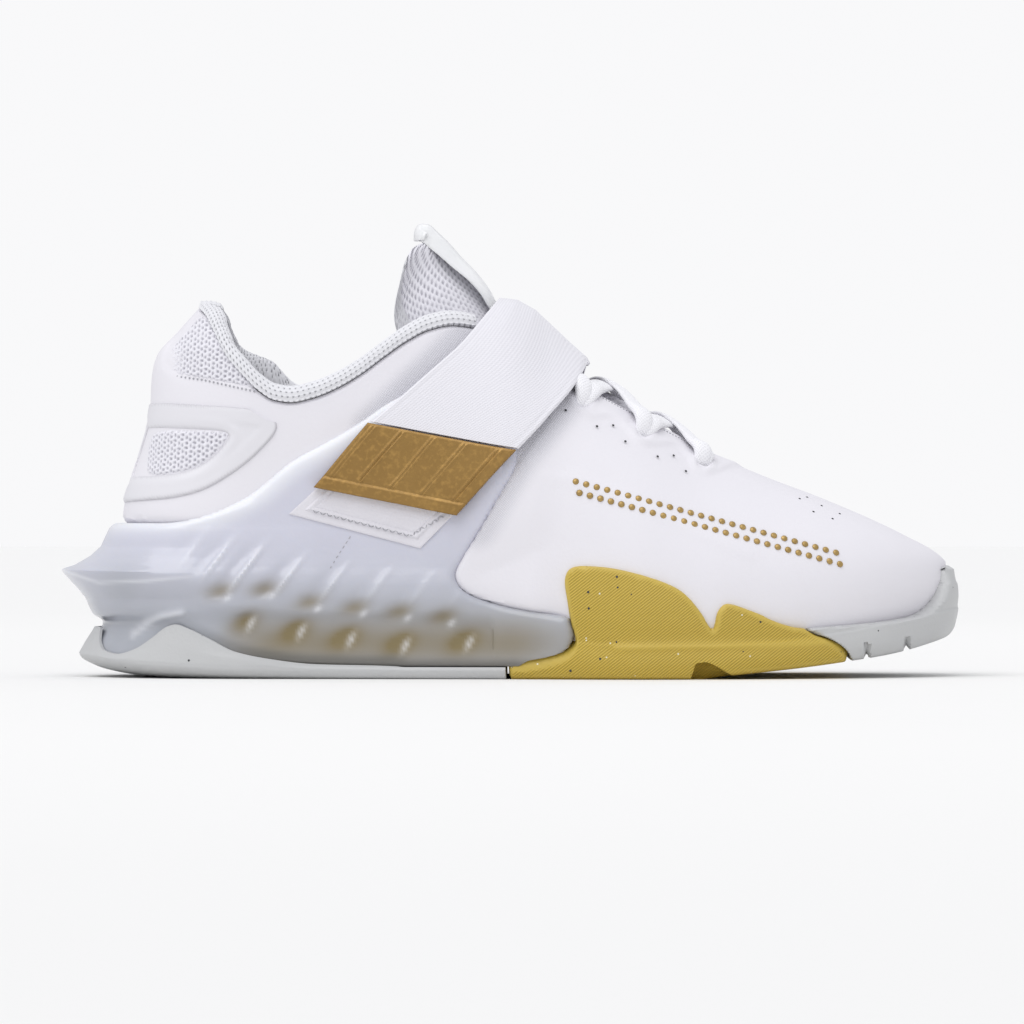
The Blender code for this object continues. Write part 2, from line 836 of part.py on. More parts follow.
def foot_wall(ring, k, out):
    """The inner face of a sole's wall at a station, from its top down to the foot bed's middle."""
    line = ring.points[k] + ring.normals[k] * CLEARANCE
    low = ring.points[k, 0] + ring.outward[k] * CLEARANCE
    low[2] -= CLEARANCE
    bed = bed_height(ring.spine[k, 0]) - CLEARANCE
    return [*line[::-1][len(line) - out :], low, ring.on_spine(k, bed)]


def wall_rows(ring, k, z_from, count, out, top_row):
    """The outer face of a wall: points of the station's line above a height, set out by a wall."""
    line = ring.points[k]
    normals = ring.normals[k]
    run = np.arange(len(line), dtype=float)
    first = float(np.interp(z_from, line[:, 2], run))
    found = []
    for share in np.linspace(0, 1, count + 1)[1:]:
        at = first + (top_row - 1 - first) * share
        point = np.array([np.interp(at, run, line[:, i]) for i in range(3)])
        normal = unit(np.array([np.interp(at, run, normals[:, i]) for i in range(3)]))
        found.append(point + normal * out)
    return found


def make_cage(ring):
    profiles = []
    last = ring.station_at(0.62)
    for k in ring.span_heel(last):
        blend = float(heel_blend(ring.way[k]))
        profile = [ring.on_spine(k, CAGE_SIDE[0][2] * COLLAR_HEIGHT)]
        for row in CAGE_SIDE:
            up, out = section(ring, k, row)
            profile.append(ring.beside(k, up, out))
        wall = CAGE_WALL + HEEL_WALL_EXTRA * blend
        profile += wall_rows(ring, k, up + 0.002, 6, wall, ROWS)
        profile += foot_wall(ring, k, ROWS)
        profiles.append(profile)
    cage = tray("heel_cage", profiles, "clear")
    front = [*CAGE_OUTLINE, *LIP, (0.5000, 0.0100), (0.5000, -0.1), (1.2, -0.1), (1.2, 1.6), (-0.08, 1.6)]
    cut(cage, front)
    for side in (-1, 1):
        for low_x, low_z, high_x, high_z, radius in RIBS:
            ends = []
            for x, z in ((low_x, low_z), (high_x, high_z)):
                k = int(np.argmin(np.abs(ring.length[: ring.stations] - x * SHOE_LENGTH)))
                rows = np.array([section(ring, k, row) for row in CAGE_SIDE])
                point, _ = on_body(side, x * SHOE_LENGTH, z * COLLAR_HEIGHT)
                out = float(np.interp(z * COLLAR_HEIGHT, rows[:, 0], rows[:, 1]))
                point[1] += side * (out + radius * COLLAR_HEIGHT - RIB_DEPTH)
                ends.append(point)
            combine(cage, tube(ends[0], ends[1], radius * COLLAR_HEIGHT))
    return cage


def make_heel_outsole(ring):
    profiles = []
    last = ring.station_at(0.56)
    for k in ring.span_heel(last):
        profile = [ring.on_spine(k, 0.0)]
        for row in HEEL_SOLE:
            up, out = section(ring, k, row)
            point = ring.points[k, 0] + ring.outward[k] * out
            point[2] = up
            profile.append(point)
        profile.append(ring.on_spine(k, 0.0310 * COLLAR_HEIGHT))
        profiles.append(profile)
    sole = tray("heel_outsole", profiles, "grey_rubber")
    cut(sole, [*WAVE, (0.6208, 0.6), (-0.08, 0.6)])
    cut(sole, [(0.4945, -0.1), (0.4945, 0.5), (0.8, 0.5), (0.8, -0.1)])
    return sole


def front_profile(ring, k, top_row):
    """A profile of the front sole at a station, with its wall up to a row of the body."""
    blend = float(toe_blend(ring.way[k]))
    x = ring.length[k]
    tread = float(tread_height(x))
    bed = float(bed_height(x))
    profile = [ring.on_spine(k, float(tread_height(ring.spine[k, 0])))]
    for rise, ball, toe in FRONT_SIDE:
        z = tread + rise * (bed - tread)
        profile.append(ring.beside(k, z, (ball + (toe - ball) * blend) * BALL_WIDTH))
    wall = FRONT_WALL + TOE_WALL_EXTRA * blend
    profile += wall_rows(ring, k, z + 0.0015, 4, wall, top_row)
    profile += foot_wall(ring, k, top_row)
    return profile


def make_forefoot_outsole(ring):
    first = ring.station_at(0.47) - 1
    profiles = [front_profile(ring, k, 7) for k in ring.span_toe(first)]
    sole = tray("forefoot_outsole", profiles, "gold_rubber")
    lip = [(x + 0.0022, z) for x, z in reversed(LIP)]
    back = [(0.4956, -0.1), (0.4956, 0.0302), *lip, (0.5640, 0.1700), *FIN_OUTER[:3]]
    cut(sole, [*back, (0.5540, 0.4), (0.55, 1.2), (0.2, 1.2), (0.2, -0.1)])
    cut(sole, [(0.8226, 1.2), *FIN_END, (1.2, -0.0348), (1.2, 1.2)])
    cut(sole, [*FIN_OUTER, (0.8300, 0.1345), (0.8300, 1.2), (0.5, 1.2), (0.5, 0.2059)], -0.2, 0.0)
    cut(sole, [*FIN_INNER, (0.8300, 0.1400), (0.8300, 1.2), (0.5, 1.2), (0.5, 0.1700)], 0.0, 0.2)
    cut(sole, NOTCH, -0.2, -0.046)
    return sole


def make_toe_outsole(ring):
    first = ring.station_at(0.78) - 1
    profiles = [front_profile(ring, k, 9) for k in ring.span_toe(first)]
    sole = tray("toe_outsole", profiles, "grey_rubber")
    gap = 0.0012
    end = [(x + gap, z) for x, z in FIN_END]
    cut(sole, [(0.8226 + gap, 1.2), *end, (0.5, -0.0348), (0.5, 1.2)])
    cut(sole, [*BUMPER_TOP, (1.08, 1.2), (0.80, 1.2)])
    return sole


def make_insole(ring):
    profiles = []
    side = UPPER_WALL + 2 * CLEARANCE
    for k in range(len(ring.points)):
        bed = float(bed_height(ring.length[k]))
        middle = float(bed_height(ring.spine[k, 0]))
        low = ring.beside(k, bed, -side)
        high = ring.beside(k, bed + INSOLE_THICK + INSOLE_LIP, -side)
        inner = ring.beside(k, bed + INSOLE_THICK, -side - INSOLE_BEVEL)
        profiles.append(
            [ring.on_spine(k, middle), low, high, inner, ring.on_spine(k, middle + INSOLE_THICK)]
        )
    return tray("insole", profiles, "knit", full=True)


def make_lining(ring):
    profiles = []
    last = ring.station_at(0.49)
    inside = UPPER_WALL + CLEARANCE
    for k in ring.span_heel(last):
        edge = ring.points[k, -1]
        up = unit(ring.points[k, -1] - ring.points[k, -2])
        normal = ring.normals[k, -1]
        height = float(roll_height(edge[0]))
        rim = edge + up * CLEARANCE
        profile = [
            rim + normal * out * LINING_THICK + up * share * height for out, share in ROLL_SECTION
        ]
        profile.append(edge - normal * LINING_THICK)
        for row, depth in LINING_ROWS:
            profile.append(ring.points[k, row] - ring.normals[k, row] * depth * LINING_THICK)
        for row in (-4, -3, -2, -1):
            profile.append(ring.points[k, row] - ring.normals[k, row] * inside)
        profile.append(rim - normal * inside)
        profiles.append(profile)
    return sweep("collar_lining", profiles, "knit")


def make_counter(ring):
    span = ring.span_heel(ring.station_at(0.30))
    rows = slice(3, 11)
    points = ring.points[span, rows]
    normals = ring.normals[span, rows]
    counter = shell("heel_counter", points + normals * COUNTER_TOP, points + normals * CLEARANCE, "white")
    cut(counter, [*COUNTER, (0.02, 0.1), (0.6, 0.1), (0.6, 1.4), (0.02, 1.4)])
    cut(counter, WINDOW, -0.2, -0.006)
    cut(counter, WINDOW, 0.006, 0.2)
    return counter


def make_tongue():
    outer = []
    inner = []
    for x_mid, x_edge, z_edge, over, beside, thick in TONGUE:
        x_mid, x_edge = x_mid * SHOE_LENGTH, x_edge * SHOE_LENGTH
        top = np.array([x_mid, centre_line(x_mid), roof_height(x_mid) - 1e-6])
        row = []
        under = []
        for share in np.linspace(-1, 1, TONGUE_COLUMNS):
            side = -1 if share < 0 else 1
            edge, _ = on_body(side, x_edge, z_edge * COLLAR_HEIGHT)
            x_in = (x_mid + x_edge) / 2
            heart = np.array([x_in, centre_line(x_in), MIDDLE_HEIGHT])
            bent = abs(share) ** 0.9
            through = top * (1 - bent) + edge * bent
            point = cast(heart[None], through[None])[0]
            normal = unit(point - heart)
            if abs(share) > 0.01:
                _, slope = on_body(side, point[0], point[2])
                normal = unit(normal * (1 - abs(share)) + slope * abs(share))
            depth = over + (beside - over) * min(1.0, abs(share) / 0.45) ** 0.8
            row.append(point + normal * depth)
            under.append(point + normal * (depth - thick * (1 - 0.45 * abs(share) ** 4)))
        outer.append(row)
        inner.append(under)
    return shell("tongue", np.array(outer), np.array(inner), "white")


def strap_grid(steps, columns):
    """Points and normals over the instep: rows along the strap, columns from its rear to its front."""
    grid = np.zeros((steps, columns, 3))
    normals = np.zeros((steps, columns, 3))
    for i, way in enumerate(np.linspace(-1, 1, steps)):
        side, rear_x, rear_z, front_x, front_z = STRAP[0] if way < 0 else STRAP[1]
        rear = np.array([rear_x, rear_z]) * (SHOE_LENGTH, COLLAR_HEIGHT)
        front = np.array([front_x, front_z]) * (SHOE_LENGTH, COLLAR_HEIGHT)
        for j, across in enumerate(np.linspace(0, 1, columns)):
            low = rear + (front - rear) * across
            x_top = (0.4911 + (0.5831 - 0.4911) * across) * SHOE_LENGTH
            z_top = float(roof_height(x_top))
            rise = math.sin(math.pi / 2 * (1 - abs(way)))
            z = low[1] + (z_top - low[1]) * rise
            x = low[0] + (x_top - low[0]) * rise
            if abs(way) < 1e-6:
                z = z_top
            x_roof = x
            z = min(z, float(roof_height(x_roof)))
            point, normal = on_body(side, x, z - 1e-7)
            if abs(way) < 1e-6:
                slope = roof_height(x + 0.001) - roof_height(x - 0.001)
                normal = unit(np.array([-float(slope), 0.0, 0.002]))
                point[1] = centre_line(x)
            grid[i, j] = point
            normals[i, j] = normal
    return grid, normals


def make_strap():
    grid, normals = strap_grid(2 * STRAP_STEPS + 1, 4)
    way = np.linspace(-1, 1, len(grid))[:, None, None]
    root = CAGE_WALL + CLEARANCE + 0.0001
    under = STRAP_UNDER + (root - STRAP_UNDER) * np.clip(way, 0, 1) ** 2
    bottom = grid + normals * under
    top = bottom + normals * STRAP_THICK
    return shell("midfoot_strap", top, bottom, "white")


def corner_grid(corners, along, across):
    """Points and normals of the body's outer side between four corners in side view."""
    grid = np.zeros((along, across, 3))
    normals = np.zeros((along, across, 3))
    rear_top, front_top, front_low, rear_low = (np.array(c) for c in corners)
    for i, down in enumerate(np.linspace(0, 1, along)):
        for j, share in enumerate(np.linspace(0, 1, across)):
            top = rear_top + (front_top - rear_top) * share
            low = rear_low + (front_low - rear_low) * share
            x, z = (top + (low - top) * down) * (SHOE_LENGTH, COLLAR_HEIGHT)
            grid[i, j], normals[i, j] = on_body(-1, x, z)
    return grid, normals


def make_strap_tab():
    grid, normals = corner_grid(TAB_CORNERS, 5, 5)
    return shell("strap_tab", grid + normals * TAB_TOP, grid + normals * STRAP_UNDER, "gold")


def make_patch():
    grid, normals = corner_grid(PATCH_CORNERS, 6, 5)
    return shell("fastener_patch", grid + normals * PATCH_TOP, grid + normals * PATCH_UNDER, "white")


def band(path, normals, width, thickness, sides):
    """Profiles of a flat oval cord or band along a path on the body."""
    path = np.array(path)
    ahead = unit(np.gradient(path, axis=0))
    profiles = []
    for point, along, normal in zip(path, ahead, np.array(normals)):
        across = unit(np.cross(along, normal))
        up = np.cross(across, along)
        turns = [2 * math.pi * (i + 0.5) / sides for i in range(sides)]
        ring = [
            point + across * width / 2 * math.cos(t) + up * thickness / 2 * math.sin(t) for t in turns
        ]
        profiles.append(ring)
    return profiles


def lace_path(first, second, steps, lift):
    """A path over the throat from an eyelet on the outer side to one on the inner side."""
    starts = []
    for side, (x, z) in ((-1, first), (1, second)):
        point, _ = on_body(side, x * SHOE_LENGTH, z * COLLAR_HEIGHT)
        angle = math.atan2(point[1] - centre_line(point[0]), point[2] - MIDDLE_HEIGHT)
        starts.append((point[0], angle))
    path = []
    normals = []
    for share in np.linspace(0, 1, steps):
        x = starts[0][0] + (starts[1][0] - starts[0][0]) * share
        angle = starts[0][1] + (starts[1][1] - starts[0][1]) * share
        heart = np.array([x, centre_line(x), MIDDLE_HEIGHT])
        far = heart + np.array([0, math.sin(angle), math.cos(angle)]) * 0.05
        point = cast(heart[None], far[None])[0]
        slope = (roof_height(x + 0.001) - roof_height(x - 0.001)) / 0.002
        normal = unit(np.array([-float(slope), math.sin(angle), math.cos(angle)]))
        path.append(point + normal * (lift + LACE_THICK / 2))
        normals.append(normal)
    return path, normals


def make_lace():
    pieces = []
    pairs = [(3, 3)] + [(i, i + 1) for i in range(3)] + [(i + 1, i) for i in range(3)]
    for a, b in pairs:
        lift = LACE_LIFT + LACE_STEP * ((a > b) + 0.5 * (a == b))
        path, normals = lace_path(EYELETS[a], EYELETS[b], 8 if a > b else 7, lift)
        pieces.append(sweep("lace", band(path, normals, LACE_WIDTH, LACE_THICK, 6), "white"))
    lace = pieces[0]
    for other in pieces[1:]:
        combine(lace, other, "UNION")
    return lace


def make_pull_tab():
    path = []
    for x, z in PULL_TAB:
        path.append(np.array([x * SHOE_LENGTH, float(centre_line(x * SHOE_LENGTH)), z * COLLAR_HEIGHT]))
    path = np.array(path)
    ahead = unit(np.gradient(path, axis=0))
    profiles = []
    for point, along in zip(path, ahead):
        up = np.cross(along, (0, -1.0, 0))
        half = np.array([0, PULL_WIDTH / 2, 0])
        thick = up * PULL_THICK / 2
        profiles.append([point - half - thick, point + half - thick, point + half + thick, point - half + thick])
    return sweep("pull_tab", profiles, "clear")


def centre_on_floor():
    """Moves all pieces so that the origin lies on the floor under the middle of the shoe's box."""
    pieces = list(bpy.data.objects)
    corners = np.array([v.co[:] for piece in pieces for v in piece.data.vertices])
    middle = (corners.min(0) + corners.max(0)) / 2
    shift = Matrix.Translation((-middle[0], -middle[1], -corners[:, 2].min()))
    for piece in pieces:
        piece.data.transform(shift)


def main():
    for old in list(bpy.data.objects):
        bpy.data.objects.remove(old)
    ring = Ring(STATIONS, ROWS)
    make_upper(ring)
    make_cage(ring)
    make_heel_outsole(ring)
    make_forefoot_outsole(ring)
    make_toe_outsole(ring)
    make_insole(ring)
    make_lining(ring)
    make_counter(ring)
    make_tongue()
    make_strap()
    make_strap_tab()
    make_patch()
    make_lace()
    make_pull_tab()
    centre_on_floor()


if __name__ == "__main__":
    main()
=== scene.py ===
"""Weightlifting shoe for the right foot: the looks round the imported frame.

Metres, +Z up, the toe towards +X, the outer side of the foot towards -Y, the floor at Z = 0.
Every piece is worked out on the same lasted body as the frame, with x from the tip of the heel spur,
and moved by SHIFT at the end.
"""

import math

import bmesh
import bpy
import numpy as np
from mathutils import Matrix, Vector

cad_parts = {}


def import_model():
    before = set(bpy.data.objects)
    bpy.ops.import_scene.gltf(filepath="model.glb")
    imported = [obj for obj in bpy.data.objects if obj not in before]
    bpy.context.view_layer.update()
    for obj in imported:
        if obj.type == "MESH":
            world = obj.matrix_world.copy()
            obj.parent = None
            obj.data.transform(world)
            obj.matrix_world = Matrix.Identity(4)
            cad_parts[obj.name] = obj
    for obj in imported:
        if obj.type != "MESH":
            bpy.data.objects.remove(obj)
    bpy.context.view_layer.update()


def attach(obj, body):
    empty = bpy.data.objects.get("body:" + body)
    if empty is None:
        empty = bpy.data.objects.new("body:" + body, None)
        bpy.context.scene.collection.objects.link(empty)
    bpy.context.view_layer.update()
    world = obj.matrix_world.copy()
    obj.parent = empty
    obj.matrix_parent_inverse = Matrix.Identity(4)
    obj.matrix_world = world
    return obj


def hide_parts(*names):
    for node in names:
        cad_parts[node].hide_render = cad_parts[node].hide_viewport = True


# The frame's origin, seen from the tip of the heel spur
SHIFT = (0.151781, 0.000871, 0.0)

# The camera, level with the shoe's outer side
CAMERA_LENS = 249.0
CAMERA_AT = (0.0003, -2.4, 0.0556)

# What lights the shoe from all round, and what the camera sees behind it
ROOM_LIGHT = (0.70, 0.705, 0.73)
BACKDROP = (0.945, 0.945, 0.955)
TOP_LIGHT = 1.37
STRIP_LIGHT = 0.35
FLOOR_RADIUS = 9.0

# Overall sizes
SHOE_LENGTH = 0.304
BALL_WIDTH = 0.104
COLLAR_HEIGHT = 0.126
CLEARANCE = 0.0003

# Lasted body: how its ends are rounded, where rays through it start, and its bed's two ends
HEEL_ROUND = 0.036
TOE_ROUND = 0.056
HEEL_POWER = 2.15
TOE_POWER = 2.35
FEATHER_TUCK = 0.0035
MIDDLE_HEIGHT = 0.32 * COLLAR_HEIGHT
MIDDLE_HEEL = 0.19 * SHOE_LENGTH
MIDDLE_TOE = 0.80 * SHOE_LENGTH
BED_HEEL = 0.09 * SHOE_LENGTH
BED_TOE = 0.975 * SHOE_LENGTH
RING_STEPS = 3001

# Walls and layers, counted outwards from the body's surface. The sinks are how far the backs of the
# counter and of the cage and front sole lie inside it.
UPPER_WALL = 0.0024
COUNTER_SINK = 0.0008
SOLE_SINK = 0.0004
CAGE_WALL = 0.0018
PATCH_UNDER = 0.0023
PATCH_TOP = 0.0031
STRAP_UNDER = 0.0035
STRAP_THICK = 0.0015
TAB_TOP = 0.0058
INSOLE_THICK = 0.0038

# The body's sections from heel to toe. Lengths along the shoe are shares of SHOE_LENGTH, widths of
# BALL_WIDTH and heights of COLLAR_HEIGHT. floor is the foot bed's edge, roof the top of the section,
# belly the share of the section's height where it is widest, full its squareness.
LAST = (
    # along, centre, half, floor, roof, belly, full
    (0.070, 0.000, 0.337, 0.214, 1.330, 0.13, 2.40),
    (0.155, 0.000, 0.337, 0.214, 1.340, 0.13, 2.40),
    (0.222, -0.010, 0.346, 0.210, 1.340, 0.13, 2.40),
    (0.299, -0.020, 0.346, 0.194, 1.320, 0.13, 2.30),
    (0.377, -0.030, 0.356, 0.167, 1.240, 0.13, 2.30),
    (0.443, -0.030, 0.380, 0.143, 1.086, 0.14, 2.40),
    (0.491, -0.027, 0.404, 0.125, 0.975, 0.15, 2.60),
    (0.538, -0.022, 0.433, 0.110, 0.862, 0.16, 2.40),
    (0.599, -0.014, 0.476, 0.095, 0.780, 0.17, 2.15),
    (0.654, -0.003, 0.500, 0.091, 0.702, 0.18, 2.05),
    (0.710, 0.014, 0.500, 0.091, 0.614, 0.20, 2.05),
    (0.776, 0.038, 0.486, 0.099, 0.543, 0.24, 2.15),
    (0.843, 0.060, 0.460, 0.119, 0.481, 0.30, 2.30),
    (0.898, 0.077, 0.440, 0.143, 0.425, 0.35, 2.45),
    (0.937, 0.087, 0.420, 0.163, 0.380, 0.40, 2.55),
    (0.981, 0.096, 0.400, 0.187, 0.318, 0.42, 2.60),
    (0.990, 0.098, 0.400, 0.190, 0.290, 0.42, 2.60),
)

# The body's back and front in side view.
HEEL_PROFILE = (
    # up, along
    (0.100, 0.1050), (0.214, 0.0890), (0.300, 0.0785), (0.380, 0.0745), (0.420, 0.0745),
    (0.540, 0.0805), (0.670, 0.0945), (0.790, 0.1020), (0.860, 0.1085), (0.930, 0.1300),
    (1.000, 0.1550), (1.100, 0.1850), (1.400, 0.2300),
)
TOE_PROFILE = (
    # up, along
    (0.10, 0.962), (0.19, 0.978), (0.26, 0.985), (0.32, 0.985), (0.60, 0.983),
)

# The upper's top edge in side view, from the middle of the heel to the middle of the throat.
COLLAR_EDGE = (
    # along, up
    (0.1540, 0.9850), (0.1620, 0.9650), (0.1750, 0.9050), (0.1860, 0.8550), (0.2050, 0.8000),
    (0.2200, 0.7640), (0.2390, 0.7360), (0.2570, 0.7300), (0.2830, 0.7430), (0.3080, 0.7680),
    (0.3340, 0.8050), (0.3590, 0.8500), (0.3850, 0.8940), (0.4100, 0.9250), (0.4360, 0.9380),
    (0.4620, 0.9300), (0.4860, 0.9050), (0.5100, 0.8690), (0.5430, 0.8235), (0.5950, 0.7550),
    (0.6360, 0.7030), (0.6600, 0.6750), (0.6860, 0.6430), (0.7080, 0.6120), (0.7220, 0.5970),
    (0.7295, 0.5900),
)

# How the stations lean: where each leaves the sole's edge and where it reaches the top edge.
FAN = (
    # foot, edge
    (0.0890, 0.1540), (0.0998, 0.1620), (0.1330, 0.1840), (0.1885, 0.2240), (0.2550, 0.2550),
    (0.3215, 0.3050), (0.3880, 0.3660), (0.4545, 0.4270), (0.5210, 0.4880), (0.5876, 0.5430),
    (0.6540, 0.5990), (0.7206, 0.6486), (0.7870, 0.6874), (0.8537, 0.7150), (0.9146, 0.7250),
    (0.9557, 0.7284), (0.9780, 0.7295),
)

# The sole's underside in side view: flat from heel to ball, then the toe spring.
TREAD = (
    # along, up
    (0.040, 0.0000), (0.700, 0.0000), (0.740, 0.0107), (0.816, 0.0300), (0.871, 0.0470),
    (0.916, 0.0635), (0.961, 0.0895), (0.990, 0.1120),
)

# How much of the heel's own section each station takes, by its share of the way from heel to toe.
HEEL_BLEND = (
    # way, blend
    (0.00, 1.00), (0.03, 0.90), (0.06, 0.68), (0.10, 0.42), (0.14, 0.25),
    (0.20, 0.12), (0.30, 0.03), (0.40, 0.00),
)
WAIST_BLEND = (
    # along, blend
    (0.360, 0.00), (0.420, 0.20), (0.500, 0.80), (0.550, 1.00),
)
TOE_BLEND = (
    # way, blend
    (0.70, 0.00), (0.82, 0.25), (0.92, 0.80), (1.00, 1.00),
)

# The heel sole's section, counted out from the sole's edge: shares of COLLAR_HEIGHT and BALL_WIDTH.
HEEL_SOLE = (
    # heel up, heel out, side up, side out, waist out
    (0.0000, -0.0846, 0.0000, 0.0480, 0.0180),
    (0.0130, 0.0760, 0.0030, 0.0580, 0.0260),
    (0.0340, 0.1630, 0.0080, 0.0640, 0.0330),
    (0.0560, 0.2040, 0.0170, 0.0680, 0.0390),
    (0.0640, 0.2080, 0.0310, 0.0690, 0.0430),
    (0.0950, 0.1870, 0.0640, 0.0690, 0.0460),
    (0.1620, 0.1440, 0.1620, 0.0640, 0.0450),
    (0.1620, 0.1300, 0.1620, 0.0490, 0.0300),
    (0.0950, 0.1730, 0.0640, 0.0550, 0.0300),
    (0.0655, 0.1880, 0.0310, 0.0550, 0.0290),
    (0.0440, 0.0760, 0.0310, 0.0500, 0.0270),
    (0.0310, -0.0846, 0.0310, 0.0460, 0.0250),
)

# The cage's section up to where its wall begins, counted out from the sole's edge and the body.
CAGE_SIDE = (
    # heel up, heel out, side up, side out, waist out
    (0.0335, -0.0846, 0.0335, 0.0460, 0.0250),
    (0.0465, 0.0760, 0.0335, 0.0490, 0.0330),
    (0.0680, 0.1840, 0.0340, 0.0515, 0.0400),
    (0.0960, 0.1690, 0.0640, 0.0520, 0.0450),
    (0.1490, 0.1310, 0.1490, 0.0465, 0.0400),
    (0.1700, 0.1640, 0.1700, 0.0610, 0.0330),
    (0.1850, 0.1740, 0.1850, 0.0670, 0.0290),
    (0.2190, 0.1940, 0.2190, 0.0620, 0.0240),
    (0.2620, 0.2220, 0.2520, 0.0520, 0.0210),
    (0.2840, 0.2370, 0.2750, 0.0390, 0.0200),
    (0.3000, 0.1900, 0.2950, 0.0310, 0.0190),
    (0.3240, 0.1350, 0.3200, 0.0225, 0.0180),
    (0.3500, 0.0960, 0.3500, 0.0190, 0.0175),
    (0.3960, 0.0680, 0.3960, 0.0175, 0.0175),
)

# The front sole's section. rise is the share of the way from the tread to the foot bed's edge.
FRONT_SIDE = (
    # rise, ball out, toe out
    (0.00, 0.0180, 0.0060),
    (0.07, 0.0330, 0.0270),
    (0.28, 0.0430, 0.0470),
    (0.62, 0.0470, 0.0580),
    (0.82, 0.0440, 0.0620),
    (1.00, 0.0390, 0.0620),
    (1.35, 0.0270, 0.0530),
    (1.75, 0.0215, 0.0400),
)

# Outlines in side view, shares of SHOE_LENGTH along and of COLLAR_HEIGHT up.
CAGE_OUTLINE = (
    (-0.080, 0.4171), (0.0676, 0.4171), (0.1031, 0.4118), (0.1286, 0.4144), (0.1663, 0.4358),
    (0.1940, 0.4652), (0.2195, 0.4973), (0.2572, 0.5775), (0.2960, 0.6257), (0.3337, 0.6788),
    (0.3592, 0.7246), (0.3900, 0.7640), (0.4300, 0.8200), (0.4600, 0.8400), (0.4880, 0.7900),
    (0.5089, 0.5775), (0.4645, 0.3904), (0.4412, 0.3021), (0.4357, 0.2674), (0.4468, 0.2273),
    (0.4778, 0.2005), (0.5211, 0.1791), (0.5620, 0.1658),
)
LIP = (
    (0.5610, 0.1497), (0.5661, 0.1123), (0.5661, 0.0882), (0.5590, 0.0600), (0.5388, 0.0415),
    (0.5100, 0.0300),
)
FIN_OUTER = (
    (0.5599, 0.2059), (0.5565, 0.2513), (0.5581, 0.2807), (0.5654, 0.2984), (0.5843, 0.3005),
    (0.6120, 0.2941), (0.6486, 0.2727), (0.6774, 0.2473), (0.6929, 0.2193), (0.7062, 0.1778),
    (0.7167, 0.1364), (0.7202, 0.1283), (0.7228, 0.1471), (0.7244, 0.1738), (0.7313, 0.1979),
    (0.7395, 0.2005), (0.7594, 0.1829), (0.7882, 0.1524), (0.8104, 0.1360), (0.8226, 0.1345),
)
FIN_INNER = (
    (0.5640, 0.1700), (0.5760, 0.2150), (0.5950, 0.2300), (0.6300, 0.2230), (0.6900, 0.1950),
    (0.7500, 0.1680), (0.8000, 0.1440), (0.8226, 0.1400),
)
FIN_END = (
    (0.8226, 0.1310), (0.8559, 0.0922), (0.8708, 0.0535), (0.8747, -0.0348),
)
BUMPER_TOP = (
    (0.8603, 0.1401), (0.9235, 0.1524), (0.9568, 0.1658), (0.9745, 0.1925), (0.9834, 0.2259),
    (0.9856, 0.2594), (0.9856, 0.2995), (0.9922, 0.3032), (1.0800, 0.3032),
)
WAVE = (
    (-0.0800, 0.1364), (0.0355, 0.1364), (0.0432, 0.0963), (0.0521, 0.0749), (0.0676, 0.0668),
    (0.0843, 0.0789), (0.1031, 0.1110), (0.1186, 0.1401), (0.1286, 0.1463), (0.1419, 0.1364),
    (0.1663, 0.1096), (0.1962, 0.0749), (0.2328, 0.0561), (0.2827, 0.0420), (0.3747, 0.0360),
    (0.3902, 0.0298), (0.6208, 0.0298),
)
COUNTER = (
    (0.0200, 0.7360), (0.1175, 0.7326), (0.2095, 0.7166), (0.2328, 0.7032), (0.2417, 0.6818),
    (0.2428, 0.6604), (0.2350, 0.6310), (0.2095, 0.5695), (0.1685, 0.5027), (0.1330, 0.4759),
    (0.0200, 0.4560),
)
WINDOW = (
    (0.0200, 0.6658), (0.1120, 0.6658), (0.1863, 0.6564), (0.1912, 0.6390), (0.1685, 0.5775),
    (0.1430, 0.5455), (0.1042, 0.5348), (0.0200, 0.5348),
)

# Lining and roll along the collar's edge: height of the roll by its place along the shoe.
ROLL = (
    # along, up
    (0.150, 0.0160), (0.170, 0.0260), (0.200, 0.0400), (0.240, 0.0440), (0.500, 0.0440),
)

# The tongue from its root under the lace to its top. over and beside are its depths under the body.
TONGUE = (
    # middle along, edge along, edge up, over, beside, thick
    (0.6984, 0.6984, 0.5535, -0.0026, -0.0034, 0.0020),
    (0.6430, 0.6264, 0.6340, -0.0014, -0.0038, 0.0028),
    (0.5876, 0.5543, 0.7005, -0.0012, -0.0040, 0.0034),
    (0.5377, 0.4878, 0.7540, -0.0018, -0.0058, 0.0038),
    (0.4911, 0.4268, 0.8075, -0.0022, -0.0092, 0.0042),
    (0.4601, 0.3880, 0.8880, -0.0008, -0.0096, 0.0046),
    (0.4379, 0.3736, 0.9680, 0.0000, -0.0090, 0.0048),
    (0.4200, 0.3800, 1.0750, -0.0004, -0.0030, 0.0048),
    (0.4130, 0.3850, 1.1180, -0.0014, -0.0030, 0.0034),
)

# The strap's edges on the body's surface, from its outer end over the instep to its inner root.
STRAP = (
    # side, rear along, rear up, front along, front up
    (-1, 0.3475, 0.6765, 0.5070, 0.6020),
    (1, 0.4100, 0.4700, 0.5180, 0.4300),
)
TAB_CORNERS = (
    (0.3437, 0.6738), (0.5044, 0.5976), (0.4412, 0.4305), (0.2838, 0.5053),
)
PATCH_CORNERS = (
    (0.3480, 0.6400), (0.4890, 0.5600), (0.4008, 0.3449), (0.2561, 0.4358),
)

# The pull tab's middle line over the tongue.
PULL_TAB = (
    # along, up
    (0.4880, 0.9770), (0.4800, 1.0030), (0.4734, 1.0330), (0.4590, 1.0790), (0.4420, 1.1210),
    (0.4290, 1.1570), (0.4157, 1.1880), (0.4060, 1.2070), (0.3970, 1.2060), (0.3940, 1.1880),
    (0.3940, 1.1690),
)
PULL_WIDTH = 0.017
PULL_THICK = 0.0018

